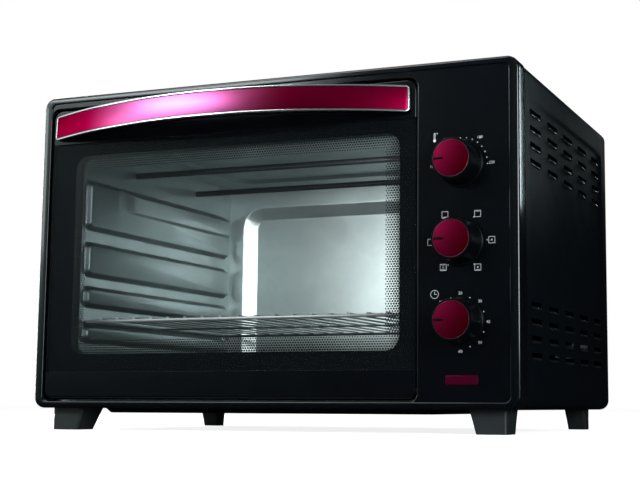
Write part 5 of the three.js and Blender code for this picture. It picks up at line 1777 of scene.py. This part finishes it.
@dataclass
class DialPrint:
    """White print round the dials: dots, numbers and generic signs."""

    face: float = -168.5
    proud: float = 0.05
    temperature: Flat = (212.4, 257.1)
    function: Flat = (211.7, 182.9)
    timer: Flat = (210.9, 105.4)
    dot_ring: float = 26.0
    timer_ring: float = 25.0
    sign_ring: float = 30.6
    dot_radius: float = 0.5
    number_height: float = 3.9
    line: float = 0.32
    sign_half: float = 3.2
    sign_corner: float = 0.4
    sign_steps: int = 3
    bar_share: float = 0.7
    blade: float = 1.1
    blades: int = 4
    blade_turn: float = 0.1
    circle_points: int = 28
    dot_sides: int = 12
    number_thinning: float = 0.012
    number_gap: float = 2.6
    thermometer_place: Flat = (184.9, 285.2)
    stem: Area = (-0.75, 0.75, -2.6, 4.3)
    stem_corner: float = 0.74
    bore: Area = (-0.3, 0.3, -1.9, 3.8)
    bore_corner: float = 0.29
    bulb_drop: float = 3.3
    bulb_radius: float = 1.35
    arrow: Runs = (((1.2, 4.1), (2.9, 4.1)), ((2.9, 4.3), (2.9, 2.6)))
    clock_place: Flat = (185.0, 132.5)
    clock_radius: float = 4.1
    hands: Runs = (((0.0, -0.2), (0.0, 2.7)), ((-0.2, 0.0), (2.1, 0.0)))
    temperature_marks: Marks = (-2.0, 13.5, 14)
    function_marks: Marks = (0.0, 60.0, 6)
    timer_marks: Marks = (-67.5, 45.0, 6)
    temperatures: tuple[tuple[str, float, float], ...] = (("100", 181.0, 29.5), ("140", 122.0, 29.8),
                                                          ("180", 54.0, 31.2), ("230", 0.0, 30.2))
    minutes: tuple[tuple[str, float], ...] = (("10", 135.0), ("20", 90.0), ("30", 45.0), ("40", 0.0),
                                              ("50", -45.0), ("60", -90.0))
    signs: tuple[tuple[float, bool, bool, bool], ...] = (
        (0.0, False, False, True), (57.0, True, False, False), (122.0, False, True, False),
        (180.0, False, False, False), (234.0, True, True, True), (303.0, False, True, True))
    meshes: list[bpy.types.Mesh] = field(default_factory=list)

    def where(self, angle: float, radius: float, centre: Flat) -> Flat:
        """Place at an angle and radius round a centre."""
        turn = math.radians(angle)
        return centre[0] + radius * math.cos(turn), centre[1] + radius * math.sin(turn)

    def ring_dots(self, name: str, angles: Marks, centre: Flat, radius: float) -> None:
        """Row of dots on an arc round one dial.

        Args:
            name: Name of the pattern.
            angles: First angle and step in degrees, and the count.
            centre: X and Z of the arc's centre.
            radius: Radius of the arc.
        """
        pattern = Pattern(name)
        graph = pattern.graph
        first, step, count = angles
        size = pattern.takes(Count=count, First=math.radians(first), Step=math.radians(step),
                             Radius=radius * MM, DotRadius=self.dot_radius * MM)
        line = graph.node("GeometryNodeMeshLine", {}, {"Count": size["Count"], "Offset": (0.0, 0.0, 0.0)})
        index = Value(graph, graph.node("GeometryNodeInputIndex").outputs[0])
        turn = index * size["Step"] + size["First"]
        spread = graph.node("GeometryNodeSetPosition", {}, {
            "Geometry": line, "Position": pattern.vector(
                turn.math("COSINE") * size["Radius"], 0.0, turn.math("SINE") * size["Radius"])})
        dot = graph.node("GeometryNodeMeshCylinder", {}, {
            "Vertices": self.dot_sides, "Radius": size["DotRadius"], "Depth": 2 * self.proud * MM})
        placed = pattern.copies(spread, dot, Rotation=(FULL_TURN / 4, 0.0, 0.0))
        shift = metres(centre[0], self.face, centre[1])
        self.meshes.append(pattern.mesh(pattern.moved(placed, Translation=shift), PRINT))

    def number(self, text: str, place: Flat) -> None:
        """Plain number centred on a place.

        Args:
            text: The number.
            place: X and Z of its middle.
        """
        curve = bpy.data.curves.new(f"number_{text}", "FONT")
        curve.body = text
        curve.align_x, curve.align_y = "CENTER", "CENTER"
        curve.size = self.number_height * MM
        curve.extrude = self.proud * MM
        curve.resolution_u = 3
        curve.offset = -self.number_thinning * self.number_height * MM
        mesh = curve_mesh(curve)
        mesh.transform(stood((place[0], self.face, place[1])))
        self.meshes.append(mesh)

    def plate(self, outlines: Sequence[Sequence[Flat]]) -> None:
        """Printed shape from its outlines."""
        self.meshes.append(flat_plate("sign", outlines, self.face - self.proud, 2 * self.proud))

    def bar(self, start: Flat, end: Flat) -> None:
        """Printed straight line.

        Args:
            start: X and Z of one end.
            end: X and Z of the other end.
        """
        run = Vector((end[0] - start[0], end[1] - start[1]))
        side = Vector((-run.y, run.x)).normalized() * self.line / 2
        self.plate([[(start[0] + side.x, start[1] + side.y), (start[0] - side.x, start[1] - side.y),
                     (end[0] - side.x, end[1] - side.y), (end[0] + side.x, end[1] + side.y)]])

    def bars(self, place: Flat, runs: Iterable[tuple[Flat, Flat]]) -> None:
        """Printed lines whose ends are given from a place."""
        for ends in runs:
            self.bar(*((place[0] + x, place[1] + z) for x, z in ends))

    @staticmethod
    def near(place: Flat, area: Area, corner: float, steps: int) -> list[Flat]:
        """Rounded outline given from a place."""
        (x, z), (x0, x1, z0, z1) = place, area
        return rounded(x + x0, x + x1, z + z0, z + z1, corner, steps)

    def circle(self, place: Flat, radius: float, hollow: bool) -> None:
        """Printed disc or circle."""
        rings = [radius] + ([radius - self.line] if hollow else [])
        self.plate([round_outline(place, r, self.circle_points) for r in rings])

    def oven_sign(self, place: Flat, top: bool, bottom: bool, fan: bool) -> None:
        """Small square sign with its heating bars and fan.

        Args:
            place: Middle of the square.
            top: Whether the upper bar is thick.
            bottom: Whether the lower bar is thick.
            fan: Whether a fan sign stands in the middle.
        """
        outer, inner = self.sign_half, self.sign_half - self.line
        corners = {outer: self.sign_corner, inner: self.sign_corner / 2}
        self.plate([self.near(place, (-half, half, -half, half), corner, self.sign_steps)
                    for half, corner in corners.items()])
        reach, level = self.bar_share * inner, inner - 2 * self.line
        for wanted, side in ((top, 1), (bottom, -1)):
            if wanted:
                self.bars(place, [((-reach, side * level), (reach, side * level))])
        if fan:
            turns = [FULL_TURN * (k / self.blades + self.blade_turn) for k in range(self.blades)]
            self.bars(place, [((0.0, 0.0), (self.blade * math.cos(a), self.blade * math.sin(a)))
                              for a in turns])

    def thermometer(self) -> None:
        """Thermometer sign with a bent arrow."""
        place = self.thermometer_place
        self.plate([self.near(place, self.stem, self.stem_corner, 6),
                    self.near(place, self.bore, self.bore_corner, 4)])
        self.circle((place[0], place[1] - self.bulb_drop), self.bulb_radius, False)
        self.bars(place, self.arrow)

    def clock(self) -> None:
        """Clock sign."""
        self.circle(self.clock_place, self.clock_radius, True)
        self.bars(self.clock_place, self.hands)

    def build(self) -> None:
        """Print the three dials' marks and join them in one piece."""
        self.ring_dots("temperature_dots", self.temperature_marks, self.temperature, self.dot_ring)
        self.ring_dots("function_dots", self.function_marks, self.function, self.dot_ring)
        self.ring_dots("timer_dots", self.timer_marks, self.timer, self.timer_ring)
        for text, angle, reach in self.temperatures:
            self.number(text, self.where(angle, reach, self.temperature))
        for text, angle in self.minutes:
            self.number(text, self.where(angle, self.timer_ring + self.number_gap, self.timer))
        for angle, top, bottom, fan in self.signs:
            self.oven_sign(self.where(angle, self.sign_ring, self.function), top, bottom, fan)
        self.thermometer()
        self.clock()
        joined = bmesh.new()
        for mesh in self.meshes:
            joined.from_mesh(mesh)
            bpy.data.meshes.remove(mesh)
        settle("dial_print", plain(joined, "dial_print"), PRINT, Body.BODY)


@dataclass
class Controls:
    """Control bodies behind the panel, the indicator lens and its lamp."""

    lens: Area = (195.5, 228.5, 46.25, 55.75)
    lens_front: float = -169.5
    lens_back: float = -165.6
    flange: float = 2.0
    flange_back: float = -164.4
    lens_edge: float = 1.5
    flange_corner: float = 3.0
    lens_corner: float = 2.0
    least_corner: float = 0.4
    shoulder: float = 0.02
    corner_steps: int = 6
    edge_steps: int = 4
    body_edge: float = 0.5
    metal_edge: float = 0.25
    bulb_edge: float = 0.4

    def lens_outline(self, inset: float, corner: float) -> list[Flat]:
        """Outline of the lens, moved in."""
        x0, x1, z0, z1 = self.lens
        return rounded(x0 + inset, x1 - inset, z0 + inset, z1 - inset, corner, self.corner_steps)

    def indicator(self) -> None:
        """Lens with a domed front and its flange."""
        wide = self.lens_outline(-self.flange, self.flange_corner)
        rings = [upright(wide, self.flange_back), upright(wide, self.lens_back),
                 upright(self.lens_outline(0.0, self.lens_corner), self.lens_back - self.shoulder)]
        for turn in quarter(self.edge_steps):
            inset = self.lens_edge * (1 - math.cos(turn))
            rings.append(upright(self.lens_outline(inset, max(self.lens_corner - inset, self.least_corner)),
                                 self.lens_front + self.lens_edge * (1 - math.sin(turn))))
        Shell().loft(rings).piece("indicator_window", LENS, Body.BODY, ("indicator_lens",))

    def build(self) -> None:
        """Make the control bodies, the lens and the lamp."""
        soften(HOUSING, self.body_edge, "thermostat", "function_switch", "timer_clockwork")
        soften(ZINC, self.metal_edge, "temperature_shaft", "function_shaft", "timer_shaft", "control_bracket")
        soften(BULB, self.bulb_edge, "indicator_lamp")
        self.indicator()


# Studio


@dataclass(frozen=True)
class Lamp:
    """Soft rectangular studio lamp that the camera doesn't see. Lengths are in metres."""

    name: str
    place: Point
    target: Point
    size: Flat
    watts: float
    colour: Colour = WHITE
    spread: float = 180.0

    def build(self) -> None:
        """Make the lamp and aim it."""
        data = bpy.data.lights.new(self.name, "AREA")
        data.shape = "RECTANGLE"
        data.size, data.size_y = self.size
        data.energy = self.watts
        data.color = self.colour
        data.spread = math.radians(self.spread)
        lamp = linked(self.name, data)
        lamp.location = self.place
        lamp.rotation_euler = (Vector(self.target) - Vector(self.place)).to_track_quat("-Z", "Y").to_euler()
        lamp.visible_camera = False


MIDDLE = (-0.05, 0.0, 0.18)
LAMPS = (
    Lamp("key", place=(-0.9, -1.4, 2.1), target=MIDDLE, size=(1.2, 0.9), watts=16.0),
    Lamp("left_softbox", place=(-1.0, -1.4, 0.87), target=(-0.085, -0.215, 0.325), size=(0.85, 0.28),
         watts=7.0, colour=(0.9, 0.97, 1.0)),
    Lamp("left_edge", place=(-1.59, -1.06, 0.56), target=(-0.26, -0.17, 0.25), size=(0.35, 0.4), watts=2.0,
         colour=(0.86, 1.0, 0.98)),
    Lamp("left_tall", place=(-1.75, -0.35, 0.35), target=(-0.1, -0.17, 0.2), size=(0.5, 0.8), watts=0.8,
         colour=(0.88, 1.0, 1.0)),
    Lamp("right_softbox", place=(1.25, -1.15, 0.42), target=(-0.2, -0.1, 0.2), size=(0.6, 0.55), watts=15.0,
         colour=(0.88, 0.98, 1.0)),
    Lamp("left_rim", place=(-1.6, 1.3, 0.45), target=(-0.1, -0.1, 0.2), size=(0.5, 1.2), watts=24.0),
    Lamp("top_softbox", place=(-0.1, 0.2, 1.9), target=MIDDLE, size=(1.4, 1.0), watts=6.0),
    Lamp("right_strip", place=(0.46, 0.24, 0.405), target=(0.27, -0.16, 0.315), size=(0.02, 0.24),
         watts=0.0035, colour=(0.75, 0.95, 1.0), spread=26.0),
    Lamp("louvre_light", place=(0.29, 2.0, 0.72), target=(0.27, 0.1, 0.25), size=(0.3, 0.2), watts=0.7,
         colour=(0.9, 0.98, 1.0)),
    Lamp("cavity_fill", place=(0.085, -0.128, 0.27), target=(-0.02, 0.2, 0.14), size=(0.09, 0.07), watts=0.65,
         colour=(0.95, 1.0, 1.0), spread=120.0),
    Lamp("cavity_window", place=(-0.05, -0.14, 0.21), target=(-0.05, 0.2, 0.2), size=(0.26, 0.12), watts=0.3,
         colour=(0.93, 1.0, 1.0), spread=120.0),
)


@dataclass
class Studio:
    """Pale floor, soft lamps, the world and the photograph's camera. Lengths are in metres."""

    place: Point = (0.60303, -1.33954, 0.02739)
    right: Point = (0.93270, 0.36082, 0.00410)
    up: Point = (0.04088, -0.11677, 0.99245)
    lens: float = 73.353
    sensor: float = 36.0
    shift: Flat = (-0.125, -0.0045)
    floor_half: float = 12.0
    floor_light: float = 0.84
    fill: float = 0.16
    dark: float = 0.004
    front_glow: float = 0.05
    left_glow: float = 0.85
    far_glow: float = 0.1
    room_tint: Colour = (0.80, 1.0, 1.0)
    backdrop: Point = (-0.75, 0.65, 0.1)
    backdrop_gloss: float = 0.3
    backdrop_from: float = 0.55
    backdrop_fade: float = 0.4
    backdrop_power: float = 1.5
    left_from: float = 0.40
    far_from: float = 0.75
    right_from: float = 0.25
    glow_fade: float = 0.20
    ahead_gain: float = 4.0
    level_least: float = 0.01
    clip: Flat = (0.05, 60.0)
    pale: Colour = (0.84, 0.84, 0.84)
    paler: Colour = (0.88, 0.88, 0.88)
    glossy_floor: Colour = (0.02, 0.022, 0.024)
    floor_grain: float = 3.0

    def camera(self) -> None:
        """Camera at the photograph's view."""
        data = bpy.data.cameras.new("photo_camera")
        data.lens, data.sensor_width = self.lens, self.sensor
        data.shift_x, data.shift_y = self.shift
        data.clip_start, data.clip_end = self.clip
        camera = linked("photo_camera", data)
        right = Vector(self.right).normalized()
        behind = right.cross(Vector(self.up)).normalized()
        turn = Matrix((right, behind.cross(right), behind)).transposed().to_4x4()
        camera.matrix_world = Matrix.Translation(self.place) @ turn
        bpy.context.scene.camera = camera

    @staticmethod
    def seen(graph: Graph, path: bpy.types.Node) -> Value:
        """One for rays that show the white backdrop: from the camera or through glass."""
        rays = (Value(graph, path.outputs[name]) for name in ("Is Camera Ray", "Is Transmission Ray"))
        return sum(rays, 0.0).clamp()

    def floor(self) -> None:
        """Pale floor that stays white in view and keeps the oven's soft shadow."""
        made = bpy.data.materials.new("studio_floor")
        made.use_nodes = True
        graph = Graph(made.node_tree)
        path = graph.node("ShaderNodeLightPath")
        seen = self.seen(graph, path)
        pale = graph.mix(graph.noise(self.floor_grain), self.pale, self.paler)
        paint = graph.node("ShaderNodeBsdfDiffuse", {}, {
            "Color": graph.mix(path.outputs["Is Glossy Ray"], pale, self.glossy_floor)})
        light = graph.node("ShaderNodeEmission", {}, {
            "Color": (*WHITE, 1.0), "Strength": seen * self.floor_light})
        both = graph.node("ShaderNodeAddShader")
        graph.feed(both.inputs[0], paint)
        graph.feed(both.inputs[1], light)
        graph.node("ShaderNodeOutputMaterial", {}, {"Surface": both})
        half = self.floor_half
        data = bpy.data.meshes.new("studio_floor")
        corners = [(-half, -half, 0.0), (half, -half, 0.0), (half, half, 0.0), (-half, half, 0.0)]
        data.from_pydata(corners, [], [(0, 1, 2, 3)])
        data.materials.append(made)
        linked("studio_floor", data)

    def world(self) -> None:
        """White background in view, with a darker room in front of the oven for reflections."""
        world = bpy.data.worlds.new("studio")
        world.use_nodes = True
        bpy.context.scene.world = world
        graph = Graph(world.node_tree)
        path = graph.node("ShaderNodeLightPath")
        seen = self.seen(graph, path)
        glossy = Value(graph, path.outputs["Is Glossy Ray"])
        room = self.facing(graph) * self.backdrop_gloss + self.front_room(graph) + self.dark
        light = glossy * room + (1 - glossy) * self.fill
        strength = seen + (1 - seen) * light
        shade = graph.node("ShaderNodeBackground", {}, {
            "Color": graph.mix(glossy, WHITE, self.room_tint), "Strength": strength})
        graph.node("ShaderNodeOutputWorld", {}, {"Surface": shade})

    def facing(self, graph: Graph) -> Value:
        """One towards the backdrop behind the oven, fading to zero around it.

        Args:
            graph: The world's tree.

        Returns:
            The share.
        """
        node = graph.node("ShaderNodeVectorMath", {"operation": "DOT_PRODUCT"})
        graph.feed(node.inputs[0], graph.node("ShaderNodeTexCoord").outputs["Generated"])
        graph.feed(node.inputs[1], tuple(Vector(self.backdrop).normalized()))
        along = Value(graph, node.outputs["Value"])
        return ((along - self.backdrop_from) / self.backdrop_fade).clamp() ** self.backdrop_power

    def front_room(self, graph: Graph) -> Value:
        """Glow of the room before the oven: it grows with height and towards the left.

        Args:
            graph: The world's tree.

        Returns:
            Strength of the glow.
        """
        heading = graph.node("ShaderNodeTexCoord").outputs["Generated"]
        split = graph.node("ShaderNodeSeparateXYZ", {}, {"Vector": heading})
        x, y, z = (Value(graph, split.outputs[axis]) for axis in ("X", "Y", "Z"))
        level = (x * x + y * y).math("SQRT").math("MAXIMUM", self.level_least)
        side = -x / level
        left = ((side - self.left_from) / self.glow_fade).clamp()
        far = ((side - self.far_from) / self.glow_fade).clamp()
        right = ((self.right_from - side) / self.right_from).clamp()
        height = (z / level / self.glow_fade).clamp()
        ahead = (-y / level * self.ahead_gain).clamp()
        glow = left * self.left_glow + far * self.far_glow + (right * 2 + 1) * self.front_glow
        return height * ahead * glow

    def build(self) -> None:
        """Set up the whole studio."""
        self.camera()
        self.floor()
        self.world()
        for lamp in LAMPS:
            lamp.build()
        bpy.context.scene.view_settings.view_transform = "Standard"


def corners(limits: Sequence[Vector]) -> list[list[float]]:
    """Plain lists of two corners."""
    return [[float(value) for value in corner] for corner in limits]


def main() -> None:
    """Build the studio and every sub-assembly."""
    logging.basicConfig(level=logging.INFO, format="%(name)s %(message)s")
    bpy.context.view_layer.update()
    Studio().build()
    dials = [Dial("temperature", 0, Body.TEMPERATURE, z=258.0), Dial("function", 1, Body.FUNCTION, z=182.0),
             Dial("timer", 2, Body.TIMER, z=106.0)]
    parts = [FrontFrame(), Casing(), RearFittings(), Cavity(), WireRack(), Door(), Handle(), *dials,
             DialPrint(), Controls()]
    for part in parts:
        part.build()
        log.info("%s is in place", type(part).__name__)


if __name__ == "__main__":
    main()
